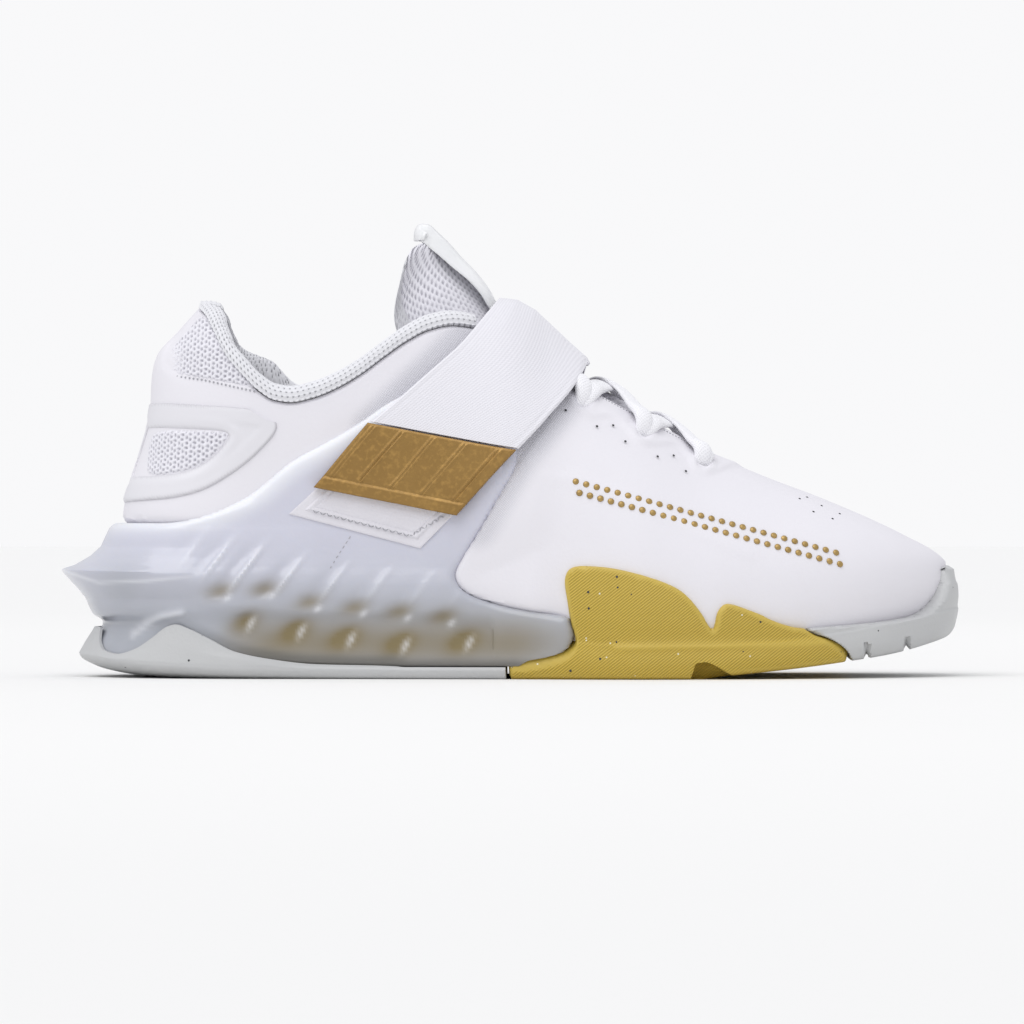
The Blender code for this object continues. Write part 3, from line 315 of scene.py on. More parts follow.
EYELETS = (
    (0.5133, 0.8150), (0.5787, 0.7326), (0.6452, 0.6524), (0.7106, 0.5722),
)
EYELET_HOLE = 0.0021
EYELET_CUT = 0.009
LACE_FLAT = 0.0072


class Curve:
    """A smooth curve through a table's points that doesn't overshoot them."""

    def __init__(self, at, values):
        self.x = np.asarray(at, float)
        self.y = np.asarray(values, float)
        self.step = np.diff(self.x)
        slope = np.diff(self.y) / self.step
        tangent = np.zeros_like(self.y)
        left = 2 * self.step[1:] + self.step[:-1]
        right = self.step[1:] + 2 * self.step[:-1]
        with np.errstate(divide="ignore", invalid="ignore"):
            mean = (left + right) / (left / slope[:-1] + right / slope[1:])
        tangent[1:-1] = np.where(slope[:-1] * slope[1:] > 0, mean, 0.0)
        tangent[0] = slope[0]
        tangent[-1] = slope[-1]
        self.tangent = tangent

    def __call__(self, x):
        x = np.clip(np.asarray(x, float), self.x[0], self.x[-1])
        i = np.clip(np.searchsorted(self.x, x, side="right") - 1, 0, len(self.step) - 1)
        h = self.step[i]
        t = (x - self.x[i]) / h
        start = (1 + 2 * t) * (1 - t) ** 2 * self.y[i] + t * (1 - t) ** 2 * h * self.tangent[i]
        end = t * t * (3 - 2 * t) * self.y[i + 1] - t * t * (1 - t) * h * self.tangent[i + 1]
        return start + end


def column(table, key, value, key_size=1.0, value_size=1.0):
    """The curve of one column of a table against another, in metres."""
    rows = np.array(table, float)
    return Curve(rows[:, key] * key_size, rows[:, value] * value_size)


centre_line = column(LAST, 0, 1, SHOE_LENGTH, BALL_WIDTH)
half_breadth = column(LAST, 0, 2, SHOE_LENGTH, BALL_WIDTH)
bed_height = column(LAST, 0, 3, SHOE_LENGTH, COLLAR_HEIGHT)
roof_height = column(LAST, 0, 4, SHOE_LENGTH, COLLAR_HEIGHT)
belly_share = column(LAST, 0, 5, SHOE_LENGTH)
fullness = column(LAST, 0, 6, SHOE_LENGTH)
heel_back = column(HEEL_PROFILE, 0, 1, COLLAR_HEIGHT, SHOE_LENGTH)
toe_front = column(TOE_PROFILE, 0, 1, COLLAR_HEIGHT, SHOE_LENGTH)
edge_height = column(COLLAR_EDGE, 0, 1, SHOE_LENGTH, COLLAR_HEIGHT)
edge_along = column(FAN, 0, 1, SHOE_LENGTH, SHOE_LENGTH)
tread_height = column(TREAD, 0, 1, SHOE_LENGTH, COLLAR_HEIGHT)
roll_height = column(ROLL, 0, 1, SHOE_LENGTH, COLLAR_HEIGHT)
wave_height = column(WAVE, 0, 1, SHOE_LENGTH, COLLAR_HEIGHT)
heel_blend = column(HEEL_BLEND, 0, 1)
waist_blend = column(WAIST_BLEND, 0, 1, SHOE_LENGTH)
toe_blend = column(TOE_BLEND, 0, 1)


def end_rounding(reach, length, power):
    """Share of the full width at a distance in from the heel's or toe's end."""
    share = np.clip(reach / length, 0.0, 1.0)
    return (1 - (1 - share) ** power) ** (1 / power)


def half_width(x, z):
    """Half the body's width at a length and a height, 0 outside it."""
    bed = bed_height(x)
    roof = roof_height(x)
    widest = bed + belly_share(x) * (roof - bed)
    power = fullness(x)
    rise = np.clip((z - widest) / (roof - widest), 0.0, 1.0)
    dome = (1 - rise**power) ** (1 / power)
    below = np.clip((widest - z) / (widest - bed), 0.0, 2.0)
    tuck = FEATHER_TUCK * below**2
    heel = end_rounding(x - heel_back(z), HEEL_ROUND, HEEL_POWER)
    toe = end_rounding(toe_front(z) - x, TOE_ROUND, TOE_POWER)
    return np.maximum(half_breadth(x) * dome - tuck, 0.0) * heel * toe


# A cast looks this many times as far as its second point, and halves the span this often
CAST_REACH = 4.0
CAST_HALVINGS = 26


def cast(origin, through):
    """Where the ray from a point inside the body through another point leaves the body."""
    ray = through - origin
    near = np.zeros(ray.shape[:-1])
    far = np.full(ray.shape[:-1], CAST_REACH)
    for _ in range(CAST_HALVINGS):
        middle = (near + far) / 2
        p = origin + ray * middle[..., None]
        inside = np.abs(p[..., 1] - centre_line(p[..., 0])) < half_width(p[..., 0], p[..., 2])
        near = np.where(inside, middle, near)
        far = np.where(inside, far, middle)
    return origin + ray * near[..., None]


def unit(vectors):
    """The same ways with a length of 1."""
    return vectors / np.linalg.norm(vectors, axis=-1, keepdims=True)


def on_body(side, x, z):
    """The body's surface at lengths and heights on one side, and its outward normals there."""
    step = 0.0004
    x, z = np.broadcast_arrays(np.asarray(x, float), np.asarray(z, float))
    point = np.stack([x, centre_line(x) + side * half_width(x, z), z], -1)
    slope_x = half_width(x + step, z) - half_width(x - step, z)
    slope_z = half_width(x, z + step) - half_width(x, z - step)
    turn = centre_line(x + step) - centre_line(x - step)
    normal = np.stack([-(slope_x + side * turn), np.full_like(x, 2 * step * side), -slope_z], -1)
    return point, unit(normal)


def spread(*marks):
    """Shares that run evenly between marks: each mark is a share and the steps that lead up to it."""
    found = [np.array([marks[0][0]])]
    for (a, _), (b, steps) in zip(marks, marks[1:]):
        found.append(np.linspace(a, b, steps + 1)[1:])
    return np.concatenate(found)


def rounded(distance, width):
    """0 at an edge and 1 from a width inside it, on a quarter circle."""
    return np.sqrt(1 - (1 - np.clip(distance / width, 0, 1)) ** 2)


def eased(value, low, high):
    """0 below one value and 1 above another, with an even slope at both."""
    t = np.clip((value - low) / (high - low), 0, 1)
    return t * t * (3 - 2 * t)


def bump(distance, width):
    """1 at no distance, and next to nothing at twice a width to either side."""
    return np.exp(-((distance / width) ** 2))


def in_metres(places):
    """Places in side view, from shares to metres along and up."""
    return np.array(places) * (SHOE_LENGTH, COLLAR_HEIGHT)


CORNER_CUT = 0.003
CORNER_PASSES = 3


def softened(outline):
    """A closed outline in side view with its corners cut, in metres."""
    points = in_metres(outline)
    for _ in range(CORNER_PASSES):
        cuts = []
        for ahead in (1, -1):
            step = np.roll(points, ahead, 0) - points
            size = np.linalg.norm(step, axis=1, keepdims=True)
            cuts.append(points + step / size * np.minimum(0.25 * size, CORNER_CUT))
        points = np.stack(cuts, 1).reshape(-1, 2)
    return points


def nearest(starts, ends, x, z):
    """Distance in side view to the nearest of several straight lines."""
    least = np.full(np.shape(x), 1.0)
    for (ax, az), (bx, bz) in zip(starts, ends):
        dx, dz = bx - ax, bz - az
        t = np.clip(((x - ax) * dx + (z - az) * dz) / (dx * dx + dz * dz), 0, 1)
        least = np.minimum(least, np.hypot(x - ax - t * dx, z - az - t * dz))
    return least


def inward(outline, x, z):
    """Distance in from a closed outline in side view, in metres, and below 0 outside it."""
    line = softened(outline)
    after = np.roll(line, -1, 0)
    inside = np.zeros(np.shape(x), bool)
    for (ax, az), (bx, bz) in zip(line, after):
        if az != bz:
            inside ^= ((az > z) != (bz > z)) & (x < ax + (bx - ax) * (z - az) / (bz - az))
    least = nearest(line, after, x, z)
    return np.where(inside, least, -least)


def beside_line(line, x, z):
    """Distance to an open line in side view, in metres."""
    points = in_metres(line)
    return nearest(points, points[1:], x, z)


def beside_centre(points):
    """Distance to the body's middle line, seen from above."""
    return np.abs(points[..., 1] - centre_line(points[..., 0]))


def distance_along(path):
    """Distance from a path's start to each of its points."""
    return np.concatenate([[0], np.cumsum(np.linalg.norm(np.diff(path, axis=0), axis=1))])


def at_rows(line, places):
    """Points of a line at places that are counted in its rows."""
    rows = np.arange(float(len(line)))
    return np.stack([np.interp(places, rows, line[:, i]) for i in range(3)], -1)


def oval(count, wide_power, tall_power):
    """Turns round a closed section, and how far across and up its points lie: -1 to 1."""
    turns = np.linspace(0, 2 * math.pi, count + 1)[:-1]
    wide = np.sign(np.cos(turns)) * np.abs(np.cos(turns)) ** wide_power
    tall = np.sign(np.sin(turns)) * np.abs(np.sin(turns)) ** tall_power
    return turns, wide, tall


def refine(points, times, corners=(), axis=1):
    """More points between the rows of a grid, on smooth curves that stay sharp at the corners."""
    p = np.moveaxis(np.asarray(points, float), axis, 0)
    gap = np.linalg.norm(np.diff(p, axis=0), axis=-1, keepdims=True) + 1e-9
    slope = np.diff(p, axis=0) / gap
    inner = (slope[:-1] * gap[1:] + slope[1:] * gap[:-1]) / (gap[:-1] + gap[1:])
    tangent = np.concatenate([slope[:1], inner, slope[-1:]])
    leave = tangent.copy()
    arrive = tangent.copy()
    for corner in corners:
        leave[corner] = slope[corner]
        arrive[corner] = slope[corner - 1]
    t = np.linspace(0, 1, times + 1)[:-1].reshape((1, -1) + (1,) * (p.ndim - 1))
    a, b = p[:-1][:, None], p[1:][:, None]
    first, last = (leave[:-1] * gap)[:, None], (arrive[1:] * gap)[:, None]
    curve = (1 + 2 * t) * (1 - t) ** 2 * a + t * (1 - t) ** 2 * first
    curve = curve + t * t * (3 - 2 * t) * b - t * t * (1 - t) * last
    made = np.concatenate([curve.reshape((-1,) + p.shape[1:]), p[-1:]])
    return np.moveaxis(made, 0, axis)


class Ring:
    """Stations round the whole body: heel to toe on the outer side, and back on the inner side."""

    def __init__(self, ways, shares):
        self.stations = len(ways)
        start = float(heel_back(bed_height(BED_HEEL)))
        end = float(toe_front(bed_height(BED_TOE)))
        turn = np.linspace(0, math.pi, RING_STEPS)
        x = start + (end - start) * (1 - np.cos(turn)) / 2
        y = half_width(x, bed_height(x))
        run = np.concatenate([[0], np.cumsum(np.hypot(np.diff(x), np.diff(y)))])
        lengths = np.interp(ways * run[-1], run, x)
        halves = [self.side_grid(side, lengths, shares) for side in (-1, 1)]
        self.points = np.concatenate([halves[0], halves[1][-2:0:-1]])
        self.way = np.concatenate([ways, ways[-2:0:-1]])
        self.length = np.concatenate([lengths, lengths[-2:0:-1]])
        self.side = np.where(np.arange(len(self.way)) < self.stations, -1, 1)
        around = np.roll(self.points, -1, 0) - np.roll(self.points, 1, 0)
        self.normals = unit(np.cross(around, np.gradient(self.points, axis=1)))
        self.outward = unit(np.cross(around[:, 0] * (1, 1, 0), (0, 0, 1.0)))
        spine = np.clip(self.length, MIDDLE_HEEL, MIDDLE_TOE)
        self.spine = np.stack([spine, centre_line(spine)], -1)

    @staticmethod
    def side_grid(side, lengths, shares):
        ends = np.ones_like(lengths)
        ends[[0, -1]] = 0.0
        z_low = bed_height(lengths)
        low_y = centre_line(lengths) + side * half_width(lengths, z_low) * ends
        low = np.stack([lengths, low_y, z_low], -1)
        x_top = edge_along(lengths)
        z_top = edge_height(x_top)
        top_y = centre_line(x_top) + side * half_width(x_top, z_top) * ends
        top = np.stack([x_top, top_y, z_top], -1)
        x_mid = np.clip((lengths + x_top) / 2, MIDDLE_HEEL, MIDDLE_TOE)
        middle = np.stack([x_mid, centre_line(x_mid), np.full_like(x_mid, MIDDLE_HEIGHT)], -1)
        share = shares[None, :, None]
        through = low[:, None] * (1 - share) + top[:, None] * share
        return cast(np.broadcast_to(middle[:, None], through.shape), through)

    def span_heel(self, share):
        """Stations from one outer place back round the heel to the same place on the inner side."""
        last = int(np.searchsorted(self.length[: self.stations], share * SHOE_LENGTH))
        return np.arange(last, -last - 1, -1) % len(self.points)

    def span_toe(self, share):
        """Stations from one outer place on round the toe to the same place on the inner side."""
        first = int(np.searchsorted(self.length[: self.stations], share * SHOE_LENGTH))
        return np.arange(first, 2 * self.stations - 1 - first)

    def at_heights(self, k, heights):
        """Points of a station's line at heights, or its foot where a height is below it."""
        line = self.points[k]
        z_on = np.clip(heights, line[0, 2], line[-1, 2])
        return np.stack([np.interp(z_on, line[:, 2], line[:, i]) for i in range(3)], -1)


def section(ring, k, table):
    """A table's section at one station: heights and outsets in metres."""
    heel_up, heel_out, side_up, side_out, waist_out = np.array(table).T
    heel = float(heel_blend(ring.way[k]))
    waist = float(waist_blend(ring.length[k]))
    out = side_out + (waist_out - side_out) * waist
    up = side_up + (heel_up - side_up) * heel
    return up * COLLAR_HEIGHT, (out + (heel_out - out) * heel) * BALL_WIDTH


# Building and finishing of pieces

WELD = 2e-6
SHORTEST_EDGE = 1e-7


def add_object(name, data):
    made = bpy.data.objects.new(name, data)
    bpy.context.scene.collection.objects.link(made)
    return made


def evaluated_mesh(piece):
    """A new mesh of the piece with its modifiers worked out."""
    ready = piece.evaluated_get(bpy.context.evaluated_depsgraph_get())
    return bpy.data.meshes.new_from_object(ready)


def numbered(rows, cols, wrap=False, first=0):
    """The numbers of a grid's points, with the first row again at the end where it wraps round."""
    number = first + np.arange(rows * cols).reshape(rows, cols)
    return np.vstack([number, number[:1]]) if wrap else number


def quads(number):
    """The four corners of each quad between a grid's points."""
    return np.stack([number[:-1, :-1], number[1:, :-1], number[1:, 1:], number[:-1, 1:]], -1)


def build(name, points, faces, look, slot, replaces=(), uv=None, values=None, sharp=38):
    """One piece from points in the working frame and faces: welded, turned outwards, on its body."""
    mesh = bpy.data.meshes.new(name)
    mesh.from_pydata((np.asarray(points).reshape(-1, 3) - SHIFT).tolist(), [], faces)
    if uv is not None:
        corner = np.empty(len(mesh.loops), int)
        mesh.loops.foreach_get("vertex_index", corner)
        layer = mesh.uv_layers.new(name="pattern")
        layer.data.foreach_set("uv", np.asarray(uv, float).reshape(-1, 2)[corner].ravel())
    for key, value in (values or {}).items():
        spot = mesh.attributes.new(key, "FLOAT", "POINT")
        spot.data.foreach_set("value", np.asarray(value, np.float32).ravel())
    body = bmesh.new()
    body.from_mesh(mesh)
    bmesh.ops.remove_doubles(body, verts=body.verts, dist=WELD)
    bmesh.ops.dissolve_degenerate(body, edges=body.edges, dist=SHORTEST_EDGE)
    bmesh.ops.recalc_face_normals(body, faces=body.faces)
    if body.calc_volume(signed=True) < 0:
        bmesh.ops.reverse_faces(body, faces=body.faces)
    body.to_mesh(mesh)
    body.free()
    mesh.materials.append(look)
    mesh.polygons.foreach_set("use_smooth", [True] * len(mesh.polygons))
    mesh.set_sharp_from_angle(angle=math.radians(sharp))
    piece = add_object(name, mesh)
    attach(piece, "root")
    if replaces:
        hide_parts(*replaces)
    return piece


def shell(name, outer, inner, look, slot, keep=None, seam=False, uv=None, values=None, **more):
    """A closed piece between two grids of points, only where keep says so.

    seam says that the grids' first columns lie together on the middle line, with no wall there.
    """
    rows, cols = outer.shape[:2]
    if keep is None:
        keep = np.ones((rows - 1, cols - 1), bool)
    corners = quads(numbered(rows, cols))
    a, b, c, d = np.moveaxis(corners, -1, 0)
    back = rows * cols
    faces = [corners[keep], corners[keep][:, ::-1] + back]
    # A wall closes the gap wherever a kept quad has no kept neighbour
    pad = np.pad(keep, 1)
    if seam:
        pad[1:-1, 0] = True
    before, after = pad[:-2, 1:-1], pad[2:, 1:-1]
    left, right = pad[1:-1, :-2], pad[1:-1, 2:]
    for p, q, near in ((a, d, before), (b, c, after), (a, b, left), (d, c, right)):
        edge = keep & ~near
        faces.append(np.stack([p[edge], q[edge], q[edge] + back, p[edge] + back], -1))
    points = np.concatenate([outer.reshape(-1, 3), inner.reshape(-1, 3)])
    if uv is not None:
        uv = np.concatenate([uv.reshape(-1, 2)] * 2)
    if values:
        values = {k: np.concatenate([v.ravel(), np.zeros(v.size)]) for k, v in values.items()}
    return build(name, points, np.concatenate(faces).tolist(), look, slot, uv=uv, values=values, **more)


def rods(name, sections, look, slot, **more):
    """A closed piece from equal closed sections along a path."""
    number = numbered(*sections.shape[:2])
    faces = quads(np.hstack([number, number[:, :1]])).reshape(-1, 4).tolist()
    faces.append(number[0].tolist())
    faces.append(number[-1][::-1].tolist())
    return build(name, sections, faces, look, slot, **more)


# Slopes flatter than this, and faces more edge-on than this, aren't followed
LEAST_SLOPE = 0.3
EDGE_ON = 0.35


def snap(distance_at, points, normals, limit):
    """Moves points that lie just outside an outline onto it, and says which quads to keep."""
    x, z = points[..., 0], points[..., 2]
    step = 0.0001
    d = distance_at(x, z)
    slope_x = (distance_at(x + step, z) - distance_at(x - step, z)) / (2 * step)
    slope_z = (distance_at(x, z + step) - distance_at(x, z - step)) / (2 * step)
    steep = np.maximum(slope_x**2 + slope_z**2, LEAST_SLOPE)
    move = np.where((d < 0) & (d > -limit), -d, 0.0) / steep
    dx, dz = slope_x * move, slope_z * move
    across = np.where(np.abs(normals[..., 1]) < EDGE_ON, np.inf, normals[..., 1])
    dy = -(normals[..., 0] * dx + normals[..., 2] * dz) / across
    after = np.where(d > -limit, np.maximum(d, 0.0), d)
    corners = [(slice(None, -1), slice(None, -1)), (slice(1, None), slice(None, -1))]
    corners += [(slice(1, None), slice(1, None)), (slice(None, -1), slice(1, None))]
    keep = np.all([after[c] >= 0 for c in corners], 0) & np.any([d[c] > 0 for c in corners], 0)
    return points + np.stack([dx, dy, dz], -1), after, keep


def keep_near(distance, margin):
    """Quads of a grid with a corner further in than minus the margin."""
    near = distance > -margin
    return near[:-1, :-1] | near[1:, :-1] | near[1:, 1:] | near[:-1, 1:]


def run_lengths(grid):
    """Distances along both ways of a grid, in metres, as a pair for each point."""
    runs = []
    for axis in (0, 1):
        steps = np.linalg.norm(np.diff(grid, axis=axis), axis=-1)
        first = np.zeros_like(np.take(steps, [0], axis))
        runs.append(np.cumsum(np.concatenate([first, steps], axis), axis))
    return np.stack(runs, -1)


def holes(u, v, pitch, radius):
    """1 in the middle of holes that stand in staggered rows, 0 between them."""
    row_pitch = pitch * 0.866
    row = np.round(v / row_pitch)
    shift = np.where(row % 2 == 0, 0.0, 0.5)
    column_at = np.round(u / pitch - shift)
    away = np.hypot(u - (column_at + shift) * pitch, v - row * row_pitch)
    return 1 - eased(away, radius * 0.55, radius * 1.35)


# Materials


def opaque(colour):
    """A colour with its alpha, or a socket as it is."""
    return colour if isinstance(colour, bpy.types.NodeSocket) else (*colour, 1)


def add_node(tree, kind, inputs=None, **settings):
    """A node with its settings, and its inputs set to values or linked to sockets."""
    made = tree.nodes.new(kind)
    for key, value in settings.items():
        setattr(made, key, value)
    for key, value in (inputs or {}).items():
        if isinstance(value, bpy.types.NodeSocket):
            tree.links.new(value, made.inputs[key])
        else:
            made.inputs[key].default_value = value
    return made


class Look:
    """A node material: patterns, and what they do to the shader's colour, roughness and relief."""

    def __init__(self, name, colour, roughness, **sockets):
        self.material = bpy.data.materials.new(name)
        self.material.use_nodes = True
        self.tree = self.material.node_tree
        self.shader = self.tree.nodes["Principled BSDF"]
        self.normal = None
        sockets.update(Base_Color=opaque(colour), Roughness=roughness)
        for key, value in sockets.items():
            self.shader.inputs[key.replace("_", " ")].default_value = value

    def node(self, kind, inputs=None, **settings):
        return add_node(self.tree, "ShaderNode" + kind, inputs, **settings)

    def math(self, operation, a, b=0.0, c=0.0):
        return self.node("Math", {0: a, 1: b, 2: c}, operation=operation).outputs[0]

    def times(self, a, b):
        return self.math("MULTIPLY", a, b)

    def mix(self, factor, a, b):
        inputs = {"Factor": factor, 6: opaque(a), 7: opaque(b)}
        return self.node("Mix", inputs, data_type="RGBA").outputs[2]

    def place(self, stretch=(1, 1, 1), lean=0, spin=0, uv=False):
        """Object coordinates, or the piece's own pattern map, stretched and turned by degrees."""
        start = self.node("TexCoord").outputs["UV" if uv else "Object"]
        turn = (0, math.radians(lean), math.radians(spin))
        return self.node("Mapping", {"Vector": start, "Scale": stretch, "Rotation": turn}).outputs[0]

    def noise(self, scale, detail=3.0, **place):
        inputs = {"Vector": self.place(**place), "Scale": scale, "Detail": detail}
        return self.node("TexNoise", inputs).outputs["Fac"]

    def waves(self, scale, distortion=0.0, direction="X", **place):
        inputs = {"Vector": self.place(**place), "Scale": scale, "Distortion": distortion}
        return self.node("TexWave", inputs, wave_type="BANDS", bands_direction=direction).outputs["Fac"]

    def cells(self, scale, **place):
        return self.node("TexVoronoi", {"Vector": self.place(**place), "Scale": scale}).outputs

    def specks(self, scale, size, share, **place):
        """1 inside small specks: their size in a cell, and the share of the cells that have one."""
        cells = self.cells(scale, **place)
        small = self.math("LESS_THAN", cells["Distance"], size)
        chance = self.node("SeparateColor", {"Color": cells["Color"]}).outputs["Red"]
        return self.times(small, self.math("LESS_THAN", chance, share))

    def mottled(self, scale, dark, light, detail=3.0):
        """A colour that wanders between two tones."""
        return self.mix(self.noise(scale, detail), dark, light)

    def steps(self, value, *stops):
        """A ramp from a value to greys at given places."""
        made = self.node("ValToRGB", {"Fac": value})
        for element, (at, grey) in zip(made.color_ramp.elements, stops):
            element.position = at
            element.color = (grey, grey, grey, 1)
        return made.outputs["Color"]

    def value(self, name):
        """A value that the piece carries at each of its points."""
        return self.node("Attribute", attribute_name=name).outputs["Fac"]

    def over(self, tone, name, colour):
        """A tone with a colour over it wherever the piece's value says so."""
        return self.mix(self.value(name), tone, colour)

    def paint(self, colour):
        self.tree.links.new(colour, self.shader.inputs["Base Color"])

    def matt(self, roughness):
        self.tree.links.new(roughness, self.shader.inputs["Roughness"])

    def relief(self, height, distance):
        """Adds a bump to the ones before it."""
        inputs = {"Height": height, "Distance": distance, "Strength": 1.0}
        if self.normal is not None:
            inputs["Normal"] = self.normal
        self.normal = self.node("Bump", inputs).outputs["Normal"]
        self.tree.links.new(self.normal, self.shader.inputs["Normal"])


def plain_look(name, colour, roughness, reliefs, tones, marks=(), **sockets):
    """Fine relief, two wandering tones, and marks over them. A relief is its kind, depth and pattern."""
    look = Look(name, colour, roughness, **sockets)
    for kind, distance, *pattern in reliefs:
        height = look.cells(*pattern)["Distance"] if kind == "cells" else look.noise(*pattern)
        look.relief(height, distance)
    tone = look.mottled(*tones)
    for value, mark in marks:
        tone = look.over(tone, value, mark)
    look.paint(tone)
    return look.material


def upper_film():
    look = Look("upper film", (0.80, 0.785, 0.835), 0.62, Coat_Weight=0.04, Specular_IOR_Level=0.35)
    look.relief(look.noise(900.0, 4.0), 0.00006)
    ribs = look.times(look.waves(480.0, lean=-36), look.waves(520.0, lean=50))
    lines = look.value("lines")
    look.relief(look.times(ribs, lines), 0.0001)
    pale = look.mottled(28.0, (0.765, 0.75, 0.79), (0.79, 0.775, 0.815), 2.0)
    marks = look.times(lines, look.math("MULTIPLY_ADD", ribs, -0.40, 0.42))
    look.paint(look.mix(marks, pale, (0.36, 0.37, 0.43)))
    return look.material


def mesh_cloth():
    look = Look("mesh cloth", (0.80, 0.79, 0.84), 0.8, Sheen_Weight=0.25, Sheen_Roughness=0.5)
    look.relief(look.waves(700.0, 2.0, lean=45), 0.00004)
    look.relief(look.noise(1500.0), 0.00003)
    white = look.mottled(60.0, (0.79, 0.78, 0.83), (0.83, 0.82, 0.87))
    white = look.over(white, "band", (0.62, 0.62, 0.645))
    # The holes are shallow dips painted darker: painted shade inside them
    look.paint(look.over(white, "hole_and_shade", (0.42, 0.41, 0.46)))
    return look.material


def cage_plastic():
    look = Look(
        "cage plastic", (0.62, 0.66, 0.76), 0.28, Coat_Weight=0.35, Coat_Roughness=0.12,
        Subsurface_Weight=0.12, Subsurface_Radius=(0.0016, 0.0020, 0.0026), Subsurface_Scale=1.0,
    )
    milk = look.over((0.60, 0.60, 0.69), "depth", (0.34, 0.355, 0.385))
    milk = look.mix(look.times(look.noise(45.0, 2.0), 0.25), milk, (0.70, 0.73, 0.82))
    milk = look.over(milk, "top", (0.79, 0.80, 0.84))
    milk = look.over(milk, "warm", (0.22, 0.17, 0.075))
    # shade is painted shade: a dark band just above the heel outsole's wave
    milk = look.over(milk, "shade", (0.12, 0.115, 0.10))
    look.paint(look.over(milk, "glint", (0.93, 0.94, 0.97)))
    look.relief(look.noise(220.0, 2.0), 0.00012)
    return look.material


def grey_rubber():
    look = Look("grey rubber", (0.57, 0.585, 0.585), 0.5, Coat_Weight=0.05)
    look.relief(look.noise(1100.0, 4.0), 0.00008)
    pale = look.mottled(40.0, (0.495, 0.50, 0.505), (0.55, 0.555, 0.555))
    look.paint(look.mix(look.specks(230.0, 0.09, 0.34), pale, (0.04, 0.04, 0.045)))
    look.matt(look.steps(look.noise(90.0), (0.3, 0.42), (0.7, 0.58)))
    return look.material


def gold_rubber():
    look = Look("gold rubber", (0.49, 0.36, 0.075), 0.5, Coat_Weight=0.08, Coat_Roughness=0.35)
    plain = look.value("rim")
    ribs = look.waves(390.0, lean=-52)
    look.relief(look.times(ribs, look.math("SUBTRACT", 1.0, plain)), 0.00016)
    look.relief(look.noise(1000.0), 0.00005)
    field = look.mix(ribs, (0.36, 0.245, 0.016), (0.68, 0.49, 0.078))
    tone = look.mix(plain, field, (0.575, 0.42, 0.075))
    tone = look.mix(look.times(look.noise(60.0), 0.35), tone, (0.46, 0.32, 0.035))
    tone = look.mix(look.specks(210.0, 0.10, 0.42), tone, (0.03, 0.03, 0.03))
    pale_specks = look.specks(230.0, 0.08, 0.42, stretch=(1.1, 1.1, 1.1))
    look.paint(look.mix(pale_specks, tone, (0.85, 0.80, 0.6)))
    return look.material


def gold_satin(name, dark, light):
    look = Look(name, dark, 0.38, Metallic=0.55, Coat_Weight=0.1)
    look.relief(look.noise(1500.0), 0.00006)
    flecks = look.steps(look.noise(620.0, 4.0), (0.50, 0.0), (0.72, 0.55))
    fleck_colour = tuple(1.45 * shade for shade in light)
    look.paint(look.mix(flecks, look.mottled(70.0, dark, light), fleck_colour))
    look.matt(look.steps(look.noise(240.0), (0.3, 0.34), (0.7, 0.48)))
    return look.material


def strap_webbing():
    look = Look("strap webbing", (0.80, 0.79, 0.845), 0.75, Sheen_Weight=0.2)
    across = look.times(look.waves(290.0, direction="Y", uv=True), 0.65)
    weave = look.math("MULTIPLY_ADD", look.waves(420.0, uv=True), 0.35, across)
    bands = look.noise(420.0, 2.0, uv=True, stretch=(0.04, 1, 1))
    look.relief(weave, 0.00008)
    look.relief(bands, 0.00004)
    look.relief(look.noise(1200.0), 0.00003)
    tone = look.mix(weave, (0.73, 0.72, 0.765), (0.84, 0.83, 0.87))
    look.paint(look.mix(look.times(bands, 0.30), tone, (0.71, 0.70, 0.75)))
    return look.material


def lace_braid():
    look = Look("lace braid", (0.86, 0.855, 0.89), 0.75, Sheen_Weight=0.3)
    threads = [look.waves(420.0, uv=True, spin=spin) for spin in (35, -35)]
    braid = look.math("MAXIMUM", *threads)
    look.relief(braid, 0.00012)
    look.relief(look.noise(1600.0), 0.00003)
    look.paint(look.mix(braid, (0.84, 0.835, 0.87), (0.93, 0.925, 0.955)))
    return look.material


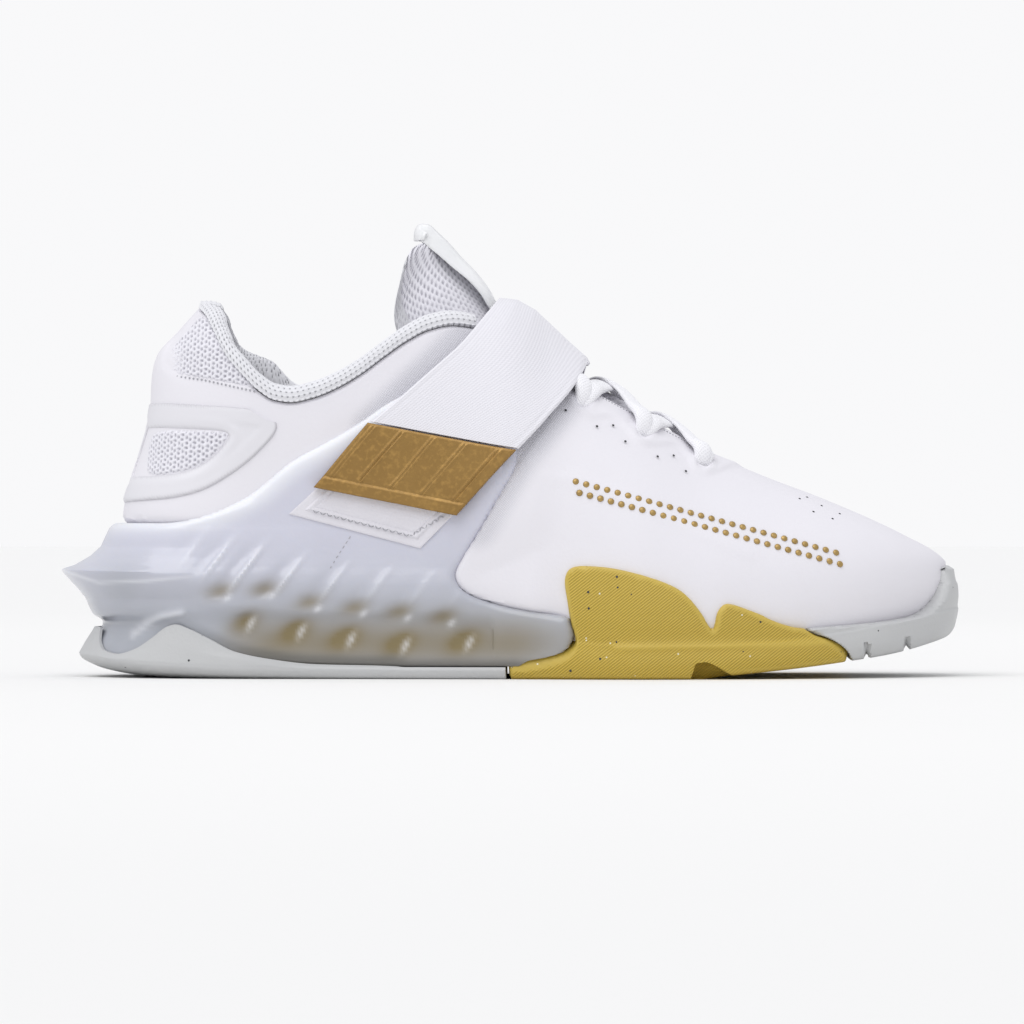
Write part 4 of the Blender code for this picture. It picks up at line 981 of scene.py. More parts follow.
def make_looks():
    """Every look by its short name."""
    return {
        "film": upper_film(),
        "mesh": mesh_cloth(),
        "cage": cage_plastic(),
        "grey": grey_rubber(),
        "gold": gold_rubber(),
        "satin": gold_satin("satin gold", (0.275, 0.155, 0.040), (0.340, 0.200, 0.056)),
        "ink": gold_satin("gold ink", (0.345, 0.225, 0.070), (0.430, 0.290, 0.105)),
        "strap": strap_webbing(),
        "lace": lace_braid(),
        "knit": plain_look(
            "knit cloth", (0.70, 0.70, 0.72), 0.85,
            reliefs=[("noise", 0.00004, 1400.0), ("cells", 0.00006, 800.0)],
            tones=(80.0, (0.73, 0.73, 0.76), (0.81, 0.81, 0.84)),
            # The knit's holes are shallow dips painted near-black: painted shade inside them
            marks=[("hole_and_shade", (0.16, 0.16, 0.18))], Sheen_Weight=0.3, Sheen_Roughness=0.5,
        ),
        "counter": plain_look(
            "counter film", (0.77, 0.76, 0.80), 0.38,
            reliefs=[("noise", 0.00003, 1200.0)],
            tones=(35.0, (0.72, 0.71, 0.745), (0.75, 0.74, 0.775)),
            # seam is painted shade: thin dark lines for the crease round the counter and its window
            marks=[("seam", (0.40, 0.39, 0.42))], Coat_Weight=0.15, Coat_Roughness=0.3,
        ),
        "clear": plain_look(
            "clear tab", (0.84, 0.85, 0.86), 0.35,
            reliefs=[("noise", 0.00008, 300.0)],
            tones=(60.0, (0.82, 0.83, 0.84), (0.88, 0.885, 0.89)),
            Coat_Weight=0.2, Coat_Roughness=0.2,
            Subsurface_Weight=0.4, Subsurface_Radius=(0.004, 0.004, 0.004), Subsurface_Scale=1.0,
        ),
        "patch": plain_look(
            "patch cloth", (0.80, 0.79, 0.84), 0.85,
            reliefs=[("cells", 0.00008, 1300.0), ("noise", 0.00008, 500.0, 4.0)],
            tones=(90.0, (0.68, 0.665, 0.71), (0.76, 0.745, 0.79)), Sheen_Weight=0.35,
        ),
        "insole": plain_look(
            "insole cloth", (0.68, 0.68, 0.71), 0.9,
            reliefs=[("cells", 0.0002, 700.0)],
            tones=(60.0, (0.63, 0.63, 0.66), (0.71, 0.71, 0.74)), Sheen_Weight=0.3,
        ),
        # dark is painted shade: near-black domes stand for the shade inside the pinholes
        "dark": plain_look(
            "pinhole shade", (0.035, 0.035, 0.04), 0.8,
            reliefs=[("noise", 0.00005, 700.0)],
            tones=(90.0, (0.03, 0.03, 0.033), (0.05, 0.05, 0.055)),
        ),
        "thread": plain_look(
            "grey thread", (0.40, 0.40, 0.43), 0.8,
            reliefs=[("noise", 0.00005, 900.0)],
            tones=(120.0, (0.34, 0.34, 0.37), (0.46, 0.46, 0.49)),
        ),
    }


# How far round each piece of the heel and the front reaches, as shares of SHOE_LENGTH
COUNTER_END = 0.30
CAGE_END = 0.60
HEEL_SOLE_END = 0.4945
LINING_END = 0.49
GOLD_START = 0.46
TOE_START = 0.78

# Relief on the upper, in side view: shares of SHOE_LENGTH along and of COLLAR_HEIGHT up
FRONT_FILM = (
    (0.5543, 0.9278), (0.5410, 0.6872), (0.5089, 0.5775), (0.4645, 0.3904), (0.4412, 0.3021),
    (0.4357, 0.2674), (0.4468, 0.2273), (0.4778, 0.2005), (0.5211, 0.1791), (0.5620, 0.1658),
    (0.6000, 0.0500), (1.1000, 0.0500), (1.1000, 1.3000), (0.5600, 1.3000),
)
EYESTAY = (
    (0.5410, 0.8155), (0.5499, 0.7674), (0.5610, 0.7299), (0.5698, 0.7005), (0.5809, 0.6818),
    (0.5920, 0.6845), (0.6031, 0.6898), (0.6142, 0.6818), (0.6231, 0.6578), (0.6319, 0.6310),
    (0.6430, 0.6123), (0.6563, 0.6096), (0.6696, 0.6150), (0.6807, 0.6123), (0.6896, 0.5909),
    (0.6984, 0.5588), (0.7118, 0.5401), (0.7251, 0.5401), (0.7361, 0.5508), (0.7483, 0.5615),
    (0.7871, 0.5535), (0.7761, 0.7406), (0.5987, 0.9278), (0.5410, 0.9278),
)
MESH_TOP = (
    (0.1452, 0.9599), (0.1585, 0.9733), (0.1696, 0.9385), (0.1907, 0.8529), (0.2184, 0.7674),
    (0.1996, 0.7754), (0.1608, 0.7941), (0.1150, 0.8100), (0.1150, 0.8743), (0.1250, 0.9171),
)
MESH_WINDOW = (
    (0.0990, 0.6600), (0.1863, 0.6564), (0.1912, 0.6390), (0.1685, 0.5775), (0.1430, 0.5455),
    (0.0950, 0.5320),
)
SIDE_CREASE = ((0.5421, 0.5321), (0.5721, 0.5267), (0.6364, 0.4706), (0.7040, 0.3877), (0.7600, 0.3300))
STRAP_FRONT_LINE = ((0.5831, 0.8262), (0.5055, 0.6016), (0.4612, 0.4091))
STRAP_REAR_LINE = ((0.4911, 1.0080), (0.3459, 0.6658))
PINHOLES = (
    (0.5588, 0.7086), (0.5931, 0.6658), (0.6109, 0.6684), (0.6242, 0.6257), (0.6596, 0.5856),
    (0.6774, 0.5882), (0.6907, 0.5468), (0.8182, 0.4759), (0.8271, 0.4799), (0.8326, 0.4412),
    (0.8537, 0.4225), (0.8625, 0.4358), (0.8426, 0.4572),
)

# Relief on the cage, in side view
UPPER_POCKETS = (
    (0.1796, 0.2326), (0.2284, 0.2380), (0.2783, 0.2032), (0.3282, 0.1898), (0.3769, 0.1791),
    (0.4246, 0.1658),
)
LOWER_POCKETS = (
    (0.2073, 0.1471), (0.2627, 0.1257), (0.3171, 0.1043), (0.3769, 0.0882), (0.4468, 0.0963),
)
FLUTES = (
    # low up, high up, middle along, strength
    (0.300, 0.385, 0.1500, 0.45),
    (0.272, 0.365, 0.1785, 0.90),
    (0.240, 0.345, 0.2090, 1.10),
    (0.225, 0.312, 0.2545, 0.90),
    (0.215, 0.290, 0.3040, 0.70),
    (0.215, 0.275, 0.3525, 0.60),
    (0.205, 0.260, 0.3990, 0.40),
    (0.200, 0.245, 0.4400, 0.25),
)
FLUTE_LEAN = 0.76
FLUTE_CREST = 0.0011
FLUTE_GROOVE = 0.0009
SPUR_RIDGE = ((0.0, 0.286), (0.0443, 0.2540), (0.0998, 0.2594), (0.1552, 0.2727))
LEDGE = ((0.1552, 0.2059), (0.2328, 0.1898), (0.3215, 0.1791), (0.4324, 0.1684), (0.5322, 0.1578))
WAVE_LIP = ((0.0831, 0.1176), (0.0998, 0.1471), (0.1164, 0.1658), (0.1375, 0.1765))


# How far the film stands out above the cage's top edge, round the heel
FLARE = 0.0023
# How far the front film stands out from the mesh at its own edge
FILM_STEP = 0.0026
UPPER_ROWS = 96
UPPER_STATIONS = spread((0, 0), (0.05, 14), (0.40, 84), (0.56, 80), (1, 100))
INNER_ROWS = np.unique(np.append(np.arange(0, UPPER_ROWS, 5), UPPER_ROWS - 1))


def heel_flare(x, z):
    """How far the heel's film stands out at a length and a height."""
    above_cage = 1 - eased(z / COLLAR_HEIGHT, 0.43, 0.60)
    return FLARE * above_cage * (1 - eased(x / SHOE_LENGTH, 0.12, 0.26))


def film_relief(x, z):
    """How far the upper's face stands out from the body."""
    along, up = x / SHOE_LENGTH, z / COLLAR_HEIGHT
    film = inward(FRONT_FILM, x, z)
    fade = 1 - 0.75 * eased(film, 0.002, 0.028)
    fade = fade * (1 - 0.85 * eased(up, 0.40, 0.62))
    fade = fade * (1 - 0.80 * eased(along, 0.520, 0.560))
    rise = FILM_STEP * rounded(film, 0.0019) * fade
    rise += heel_flare(x, z) * eased(up, 0.405, 0.425)
    heel_swell = bump(up - 0.83, 0.08) * (1 - eased(along, 0.10, 0.15))
    rise += 0.0014 * heel_swell
    rise += 0.0003 * bump(beside_line(SIDE_CREASE, x, z), 0.0022)
    stay = inward(EYESTAY, x, z)
    rise += 0.0005 * eased(stay, 0, 0.0016) + 0.00025 * bump(stay - 0.0016, 0.0012)
    rise -= 0.0006 * eased(inward(MESH_TOP, x, z), 0, 0.0008)
    for ex, ez in in_metres(EYELETS):
        away = np.hypot(x - ex, z - ez)
        rim, dip = bump(away - 0.0034, 0.0009), 1 - eased(away, 0.0017, 0.0026)
        rise += 0.0004 * rim
        rise -= 0.0006 * dip
    from_edge = np.arange(UPPER_ROWS)[::-1] * 0.0009
    return rise - 0.0010 * (1 - eased(from_edge, 0, 0.0016))


def make_upper(looks):
    ring = Ring(UPPER_STATIONS, np.linspace(0, 1, UPPER_ROWS))
    x, z = ring.points[..., 0], ring.points[..., 2]
    outer = ring.points + ring.normals * film_relief(x, z)[..., None]
    flat = ring.outward[:, None] * np.ones_like(ring.points)
    at_foot = np.arange(UPPER_ROWS)[None, :, None] == 0
    way = np.where(at_foot, flat, ring.normals)
    inner = (ring.points - way * UPPER_WALL)[:, INNER_ROWS]
    beside_front = beside_line(STRAP_FRONT_LINE, x, z)
    beside_rear = beside_line(STRAP_REAR_LINE, x, z)
    lines = np.maximum(1 - eased(beside_front, 0.004, 0.011), 1 - eased(beside_rear, 0.003, 0.009))
    number = numbered(len(outer), UPPER_ROWS, wrap=True)
    inside = numbered(len(outer), len(INNER_ROWS), wrap=True, first=lines.size)
    faces = [quads(number).reshape(-1, 4), quads(inside)[..., ::-1].reshape(-1, 4)]
    for end in (0, -1):
        edges = [number[:-1, end], number[1:, end], inside[1:, end], inside[:-1, end]]
        faces.append(np.stack(edges, -1))
    points = np.concatenate([outer.reshape(-1, 3), inner.reshape(-1, 3)])
    upper = build(
        "upper", points, np.concatenate(faces).tolist(), looks["film"], "upper",
        replaces=("upper",), values={"lines": np.append(lines, np.zeros(inner[..., 0].size))},
    )
    cut_eyelets(upper)


def cut_eyelets(upper):
    """Cuts the eyelets right through the upper with one joined cutter."""
    tools = bmesh.new()
    for side in (-1, 1):
        for x, z in in_metres(EYELETS):
            point, normal = on_body(side, x, z)
            turn = Vector(normal).to_track_quat("Z", "Y").to_matrix().to_4x4()
            bmesh.ops.create_cone(
                tools, cap_ends=True, segments=18, radius1=EYELET_HOLE, radius2=EYELET_HOLE,
                depth=EYELET_CUT, matrix=Matrix.Translation(Vector(point - SHIFT)) @ turn,
            )
    mesh = bpy.data.meshes.new("eyelet cutter")
    tools.to_mesh(mesh)
    tools.free()
    cutter = add_object("eyelet cutter", mesh)
    cut = upper.modifiers.new("eyelets", "BOOLEAN")
    cut.solver = "EXACT"
    cut.object = cutter
    made = evaluated_mesh(upper)
    upper.modifiers.remove(cut)
    upper.data = made
    bpy.data.objects.remove(cutter)


def side_patch(outline, step, side):
    """A fine grid on one side of the body round an outline in side view."""
    line = in_metres(outline)
    low, high = line.min(0) - 0.002, line.max(0) + 0.002
    count = np.ceil((high - low) / step).astype(int)
    lengths, heights = (np.linspace(low[i], high[i], count[i]) for i in (0, 1))
    x, z = np.meshgrid(lengths, heights, indexing="ij")
    point, normal = on_body(side, x, z)
    return point, normal, inward(outline, x, z)


# The heel's mesh: its grid's step, the rows of its holes, their radius and sway, and its thickness
MESH_STEP = 0.00040
MESH_PITCH = 0.00185
MESH_HOLE = 0.00052
MESH_SWAY = 0.00022
MESH_THICK = 0.0012


def make_mesh_insets(looks):
    for name, outline, under in (
        ("heel_mesh_top", MESH_TOP, -0.0007),
        ("heel_mesh_window", MESH_WINDOW, -0.0001),
    ):
        for side, word in ((-1, "outer"), (1, "inner")):
            point, normal, inside = side_patch(outline, MESH_STEP, side)
            x, z = point[..., 0], point[..., 2]
            inside = np.minimum(inside, (beside_centre(point) - 0.0130) * 0.5)
            run = run_lengths(point)
            sway = MESH_SWAY * np.sin(x * 1900 + z * 800)
            round_heel = run[:, run.shape[1] // 2, :1] + 0 * inside
            # Each hole is a shallow dip, with painted shade in it through the mesh look
            hole_and_shade = holes(z + sway, round_heel * 1.05 - sway, MESH_PITCH, MESH_HOLE)
            thread = 0.5 + 0.5 * np.cos(z * 2 * math.pi / MESH_PITCH)
            base = under + heel_flare(x, z) + 0.00075 * eased(inside, -0.0003, 0.0012)
            rise = (base - 0.00055 * hole_and_shade + 0.00008 * thread)[..., None]
            shell(
                f"{name}_{word}", point + normal * rise, point + normal * (rise - MESH_THICK), looks["mesh"],
                "tongue_mesh", keep=keep_near(inside, 0.0006), uv=run, values={"hole_and_shade": hole_and_shade},
            )


# The ring of stations that the counter and the cage share
HEEL_ROWS = 150
HEEL_STATIONS = spread((0, 0), (0.06, 34), (0.38, 122), (0.60, 84), (1.0, 24))


# Stands for a distance to the window where there is none, at the back of the heel
FAR_OFF = 0.01


def make_counter(ring, looks):
    span = ring.span_heel(COUNTER_END)
    rows = slice(20, 132)
    point, normal = ring.points[span, rows], ring.normals[span, rows]
    off_back = eased(beside_centre(point), 0.004, 0.0085)

    def from_window(x, z):
        return -inward(WINDOW, x, z) * off_back + FAR_OFF * (1 - off_back)

    def distance_at(x, z):
        return np.minimum(inward(COUNTER, x, z), from_window(x, z))

    point, _, keep = snap(distance_at, point, normal, 0.0011)
    x, z = point[..., 0], point[..., 2]
    frame, window = inward(COUNTER, x, z), from_window(x, z)
    rise = 0.0002 + 0.0006 * rounded(frame, 0.0009) - 0.0003 * eased(frame, 0.0042, 0.0062)
    rise = rise - 0.0005 * (1 - rounded(window, 0.0014))
    rise += 0.0003 * bump(window - 0.0024, 0.0012)
    rise += heel_flare(x, z)
    # Painted shade: thin dark lines along the frame's and the window's edges stand for the shade in the
    # crease there
    frame_crease_shade = 0.45 * (1 - eased(frame, 0.0002, 0.0009))
    window_crease_shade = 0.3 * (1 - eased(window, 0.0002, 0.0008))
    shell(
        "heel_counter", point + normal * rise[..., None], point - normal * COUNTER_SINK,
        looks["counter"], "counter", keep=keep, replaces=("heel_counter",),
        values={"seam": np.maximum(frame_crease_shade, window_crease_shade)},
    )


# Rows of pockets in the cage, in metres apart from the shares lean, tint and shine
POCKETS = (
    # places, lean, length, height, tint, depth,
    # and the shine's place ahead and below, its length, height, share and rise
    (UPPER_POCKETS, 0.60, 0.0044, 0.0027, 0.66, 0.0011, 0.0042, 0.0022, 0.0011, 0.0012, 0.45, 0.0),
    (LOWER_POCKETS, 0.55, 0.0046, 0.0040, 0.85, 0.0014, 0.0024, 0.0006, 0.0010, 0.0022, 0.50, 0.0005),
)


# How much thicker the cage is round the heel, its thickness under the foot and its passes of smoothing
SPUR_WALL = 0.0043
CAGE_FLOOR = 0.004
CAGE_SMOOTHING = 16


def cage_walls(ring, span):
    """The cage's outer face as a base on the foot and a reach out from it."""
    base, reach = [], []
    for k in span:
        up, out = section(ring, k, CAGE_SIDE)
        foot = ring.at_heights(k, up)
        face = foot + ring.outward[k] * out[:, None]
        face[:, 2] = up
        line = ring.points[k]
        first = np.interp(up[-1] + 0.002, line[:, 2], np.arange(float(len(line))))
        places = np.linspace(first, len(line) - 1, 11)
        wall_out = CAGE_WALL + SPUR_WALL * float(heel_blend(ring.way[k]))
        low = np.append(ring.spine[k], up[0])
        base.append(np.vstack([[low + (0, 0, CAGE_FLOOR)], foot, at_rows(line, places)]))
        wall_reach = unit(at_rows(ring.normals[k], places)) * wall_out
        reach.append(np.vstack([[(0, 0, -CAGE_FLOOR)], face - foot, wall_reach]))
    base = refine(np.array(base), 5, corners=(1,))
    reach = refine(np.array(reach), 5, corners=(1,))
    soft = reach.copy()
    for _ in range(CAGE_SMOOTHING):
        soft[:, 8:-1] = (soft[:, 7:-2] + 2 * soft[:, 8:-1] + soft[:, 9:]) / 4
    spur = eased(heel_blend(ring.way[span]), 0.15, 0.7)[:, None, None]
    return base, soft + (reach - soft) * spur, spur[..., 0]


def cage_patterns(x, z, inside):
    """The cage's relief in metres, and its shares of each tint, of the painted highlight glint and of the
    painted shade.
    """
    along, up = x / SHOE_LENGTH, z / COLLAR_HEIGHT
    relief, glint, warm = (np.zeros_like(x) for _ in range(3))
    for low, high, at, strength in FLUTES:
        ahead = x - SHOE_LENGTH * at - FLUTE_LEAN * (z - COLLAR_HEIGHT * (low + high) / 2)
        length = eased(up, low - 0.03, low + 0.03) * (1 - eased(up, high - 0.05, high + 0.04))
        crest, groove = bump(ahead, 0.0010), bump(ahead + 0.0042, 0.0026)
        relief += (FLUTE_CREST * crest - FLUTE_GROOVE * groove) * length * strength
        glint = np.maximum(glint, 0.36 * strength * crest * length)
    for places, lean, length, height, tint, depth, *shine in POCKETS:
        shine_ahead, shine_below, shine_length, shine_height, shine_share, shine_rise = shine
        for cx, cz in in_metres(places):
            ahead, above = x - cx - lean * (z - cz), z - cz
            spot = bump(ahead, length) * bump(above, height)
            light = bump(ahead - shine_ahead, shine_length) * bump(above + shine_below, shine_height)
            warm = np.maximum(warm, tint * spot)
            glint = np.maximum(glint, shine_share * light)
            relief += shine_rise * light - depth * spot
    side_only = eased(along, 0.11, 0.17) * (1 - eased(along, 0.50, 0.55))
    relief += 0.0004 * bump(beside_line(LEDGE, x, z), 0.0022) * side_only
    lip = bump(beside_line(WAVE_LIP, x, z), 0.0012)
    relief += 0.0009 * lip
    ridge = bump(beside_line(SPUR_RIDGE, x, z), 0.0006) * (1 - eased(along, 0.10, 0.19))
    low_band = bump(up - 0.095, 0.066) * eased(along, 0.16, 0.24)
    low_band = low_band * (1 - 0.6 * eased(along, 0.50, 0.56))
    # Painted shade: the cage darkens just above the heel outsole's wave
    above_wave = z - wave_height(x)
    painted_shade_by_wave = 0.75 * (1 - eased(above_wave, 0.0010, 0.0044))
    spur_depth = bump(along - 0.07, 0.05) * eased(0.42 - up, 0, 0.2)
    depth = np.maximum((1 - eased(up, 0.10, 0.42)) * 0.95, 0.8 * spur_depth)
    top_edge = (1 - eased(inside, 0.0, 0.009)) * eased(up, 0.36, 0.42)
    return relief, {
        "warm": np.clip(warm + 0.72 * low_band * (1 - 0.5 * warm), 0, 1),
        "depth": depth,
        "top": top_edge * (1 - eased(along, 0.36, 0.44)),
        "glint": np.maximum(glint, 0.35 * np.maximum(lip, ridge)),
        "shade": painted_shade_by_wave * eased(along, 0.12, 0.24) * (1 - eased(along, 0.50, 0.53)),
    }


def make_cage(ring, looks):
    base, reach, spur = cage_walls(ring, ring.span_heel(CAGE_END))
    size = np.linalg.norm(reach, axis=-1, keepdims=True)
    way = reach / np.maximum(size, 1e-6)
    region = (*CAGE_OUTLINE, *LIP, (0.5100, -0.05), (-0.08, -0.05))
    whole, inside, keep = snap(lambda x, z: inward(region, x, z), base + reach, way, 0.0016)
    base = whole - reach
    x, z = whole[..., 0], whole[..., 2]
    relief, tints = cage_patterns(x, z, inside)
    wing = eased(z / COLLAR_HEIGHT, 0.42, 0.48) * (1 - spur)
    edge = (0.3 - 0.24 * wing) + (0.7 + 0.24 * wing) * rounded(inside, 0.0026 + 0.0044 * wing)
    outer = base + (reach + way * relief[..., None]) * edge[..., None]
    shell(
        "heel_cage", outer, base - way * SOLE_SINK, looks["cage"], "cage", keep=keep, seam=True,
        replaces=("heel_cage",), values=tints,
    )


# Rows of the heel outsole's bed and of its whole face
BED_ROWS = 40
HEEL_WALL_ROWS = 84
HEEL_SOLE_STATIONS = spread((0, 0), (0.06, 26), (0.40, 96), (0.60, 56), (1.0, 24))


def cut_rows(outer, inner, heights, count):
    """Both faces of a wall, shortened to end where the outer one reaches a height."""
    made = []
    for out, ins, top in zip(outer, inner, heights):
        pair = []
        for line in (out, ins):
            run = np.arange(len(line), dtype=float)
            over = np.nonzero((line[:, 2] >= top) & (run >= BED_ROWS))[0]
            last = float(over[0]) if len(over) else run[-1]
            if len(over) and over[0] > BED_ROWS:
                before, after = line[over[0] - 1, 2], line[over[0], 2]
                last -= (after - top) / max(after - before, 1e-6)
            pair.append(at_rows(line, np.linspace(0, last, count)))
        pair[1][-8:, 2] = np.minimum(pair[1][-8:, 2], pair[0][-1, 2])
        made.append(pair)
    made = np.array(made)
    return made[:, 0], made[:, 1]


def make_heel_outsole(looks):
    ring = Ring(HEEL_SOLE_STATIONS, np.linspace(0, 1, 30))
    outer, inner = [], []
    for k in ring.span_heel(HEEL_SOLE_END):
        up, out = section(ring, k, HEEL_SOLE)
        rows = ring.points[k, 0] + ring.outward[k] * out[:, None]
        rows[:, 2] = up
        bottom = np.linspace(np.append(ring.spine[k], 0.0), rows[0], 9)[:-1]
        outer.append(np.vstack([bottom, rows[:7]]))
        bed = np.linspace(np.append(ring.spine[k], up[-1]), rows[11], 9)[:-1]
        inside = rows[11:6:-1]
        inner.append(np.vstack([bed, inside[:1], inside, inside[-1:]])[: len(outer[-1])])
    outer = refine(np.array(outer), 5, corners=(8, 12))
    inner = refine(np.array(inner), 5)
    heights = np.maximum(wave_height(outer[:, 60:, 0].mean(1)) - CLEARANCE, 0.0040)
    outer, inner = cut_rows(outer, inner, heights, HEEL_WALL_ROWS)
    share = eased(np.arange(HEEL_WALL_ROWS), HEEL_WALL_ROWS - 5, HEEL_WALL_ROWS - 1)[None, :, None]
    outer = outer + (inner - outer) * 0.35 * share
    tread(outer[:, :32], 0.0016)
    shell(
        "heel_outsole", outer, inner, looks["grey"], "grey_rubber", seam=True,
        replaces=("heel_outsole",),
    )


# The tread's grooves: from one to the next, and how far each waves to and fro across the sole
TREAD_PITCH = 0.0085
TREAD_SWAY = 0.004
TREAD_SWAY_WIDTH = 0.016


def tread(points, depth):
    """Presses plain grooves into the flat underside."""
    x, y, z = points[..., 0], points[..., 1], points[..., 2]
    under = (z < tread_height(x) + 0.0008).astype(float)
    wave = x + TREAD_SWAY * np.abs(((y / TREAD_SWAY_WIDTH) % 2) - 1)
    groove = eased(np.cos(wave * 2 * math.pi / TREAD_PITCH), 0.55, 0.85)
    points[..., 2] += depth * groove * under


def front_rows(ring, span, last_row):
    """The front sole's outer face as a base on the foot and a reach out from it."""
    base, reach = [], []
    rise, ball, toe = np.array(FRONT_SIDE).T
    for k in span:
        blend = float(toe_blend(ring.way[k]))
        low = float(tread_height(ring.length[k]))
        bed = float(bed_height(ring.length[k]))
        z = low + rise * (bed - low)
        out = (ball + (toe - ball) * blend) * BALL_WIDTH
        foot = ring.at_heights(k, z)
        face = foot + ring.outward[k] * out[:, None]
        face[:, 2] = z
        middle = np.append(ring.spine[k], float(tread_height(ring.spine[k, 0])))
        bottom = np.linspace(middle, face[0], 10)[:-1]
        over = bottom.copy()
        over[:, 2] = bed_height(bottom[:, 0]) - 0.001
        line = ring.points[k]
        first = np.interp(z[-1] + 0.0015, line[:, 2], np.arange(float(len(line))))
        places = np.linspace(first, last_row * (len(line) - 1), 9)
        base.append(np.vstack([over, foot, at_rows(line, places)]))
        wall_reach = unit(at_rows(ring.normals[k], places)) * (FRONT_WALL + TOE_WALL * blend)
        reach.append(np.vstack([bottom - over, face - foot, wall_reach]))
    return np.array(base), np.array(reach)


# The front sole's walls up the foot, at the ball and how much more at the toe
FRONT_WALL = 0.0021
TOE_WALL = 0.0013

# The front sole in side view: its lowest edge up, the gap between its pieces along, the roof of the
# notch between the fins, the thin ridge on the gold, and each sipe's start, end and roof
SOLE_LOW = -0.0348
FRONT_GAP = 0.0012
NOTCH_ROOF = (
    (0.6955, -0.10), (0.6962, 0.0053), (0.7007, 0.0428), (0.7118, 0.0468), (0.7195, 0.0401),
    (0.7402, 0.0107), (0.7428, -0.10),
)
GOLD_RIDGE = ((0.6150, 0.0850), (0.7000, 0.0893), (0.7900, 0.0900), (0.8430, 0.0960))
SIPES = ((0.8880, 0.8930, 0.0909), (0.9335, 0.9385, 0.1080))
SIPE_DEPTH = 0.0022
SIPE_BLUR = 0.0003


def front_piece(name, ring, share, last_row, outlines, look, slot, width, notch=False):
    """A piece of the front sole inside one outline on the outer side and one on the inner."""
    base, reach = front_rows(ring, ring.span_toe(share), last_row)
    base = refine(base, 5, corners=(9,))
    reach = refine(reach, 5, corners=(9,))
    size = np.linalg.norm(reach, axis=-1, keepdims=True)
    way = reach / np.maximum(size, 1e-6)
    outer_side = base[..., 1] < centre_line(base[..., 0])

    def distance_at(x, z):
        return np.where(outer_side, inward(outlines[0], x, z), inward(outlines[1], x, z))

    points, inside, keep = snap(distance_at, base + reach, way, 0.0018)
    base = points - reach
    x, z = points[..., 0], points[..., 2]
    outer = base + reach * (0.45 + 0.55 * rounded(inside, width))[..., None]
    under = z < tread_height(x) + 0.0015
    rim = np.maximum(1 - eased(inside, 0.0011, 0.0017), under * 0.5)
    if notch:
        ridge = bump(beside_line(GOLD_RIDGE, x, z), 0.0014)
        outer += way * (0.0007 * ridge)[..., None]
        rim = np.maximum(rim, 0.6 * ridge)
        roof_along, roof_up = np.array(NOTCH_ROOF).T
        roof = np.interp(outer[..., 0] / SHOE_LENGTH, roof_along, roof_up) * COLLAR_HEIGHT
        deep = eased(-outer[..., 1], 0.041, 0.045)
        outer[..., 2] += np.maximum(roof - outer[..., 2], 0) * deep * (roof > 0)
    else:
        for low, high, roof in SIPES:
            starts, ends = low * SHOE_LENGTH, high * SHOE_LENGTH
            cut = eased(x, starts - SIPE_BLUR, starts + SIPE_BLUR)
            cut = cut * (1 - eased(x, ends - SIPE_BLUR, ends + SIPE_BLUR)) * (z < roof * COLLAR_HEIGHT)
            outer -= way * SIPE_DEPTH * cut[..., None] * eased(size, 0.0, 0.003)
    tread(outer[:, :38], 0.0014)
    shell(
        name, outer, base - way * SOLE_SINK, look, slot, keep=keep, seam=True,
        replaces=(name,), values={"rim": rim},
    )


def make_front_sole(looks):
    stations = spread((0, 0), (0.40, 24), (0.62, 84), (0.95, 140), (1, 30))
    ring = Ring(stations, np.linspace(0, 1, 90))
    back = [(x + 0.0022, z) for x, z in reversed(LIP)]
    low = [(0.8747, SOLE_LOW), (0.4956, SOLE_LOW), (0.4956, 0.0302), *back]
    golds = [[*low, *fin, *FIN_END[:-1]] for fin in (FIN_OUTER, FIN_INNER)]
    front_piece(
        "forefoot_outsole", ring, GOLD_START, 0.62, golds, looks["gold"], "gold_rubber", width=0.0013,
        notch=True,
    )
    end = [(x + FRONT_GAP, z) for x, z in FIN_END[::-1]]
    grey = [*end, (0.8226 + FRONT_GAP, 0.1345), *BUMPER_TOP, (1.08, SOLE_LOW)]
    front_piece(
        "toe_outsole", ring, TOE_START, 0.95, (grey, grey), looks["grey"], "grey_rubber", width=0.0010,
    )


# The insole's rim, counted from its bed and in from the upper's wall
INSOLE_RIM = (
    # up, in
    (0.0, 0.0),
    (INSOLE_THICK + 0.0012, 0.0),
    (INSOLE_THICK + 0.0012, 0.001),
    (INSOLE_THICK + 0.0002, 0.005),
    (INSOLE_THICK, 0.009),
)


def make_insole(looks):
    ring = Ring(spread((0, 0), (1, 120)), np.linspace(0, 1, 8))
    side = UPPER_WALL + 2 * CLEARANCE
    profiles = []
    for k in range(len(ring.points)):
        bed = float(bed_height(ring.length[k]))
        centre = np.append(ring.spine[k], float(bed_height(ring.spine[k, 0])))
        rows = [centre]
        for up, within in INSOLE_RIM:
            row = ring.points[k, 0] - ring.outward[k] * (side + within)
            row[2] = bed + up
            rows.append(row)
        profiles.append([*rows, centre + (0, 0, INSOLE_THICK)])
    profiles = refine(np.array(profiles), 6, corners=(1, 2))
    faces = quads(numbered(*profiles.shape[:2], wrap=True)).reshape(-1, 4)
    build("insole", profiles, faces.tolist(), looks["insole"], "insole", replaces=("insole",))


# How much higher the collar stands on its inner side
INNER_COLLAR = 0.0065
# The knit's rows of holes and its ribs, and how far down the roll they reach
KNIT_PITCH = 0.0019
KNIT_RIB = 0.0016
KNIT_REACH = 0.034


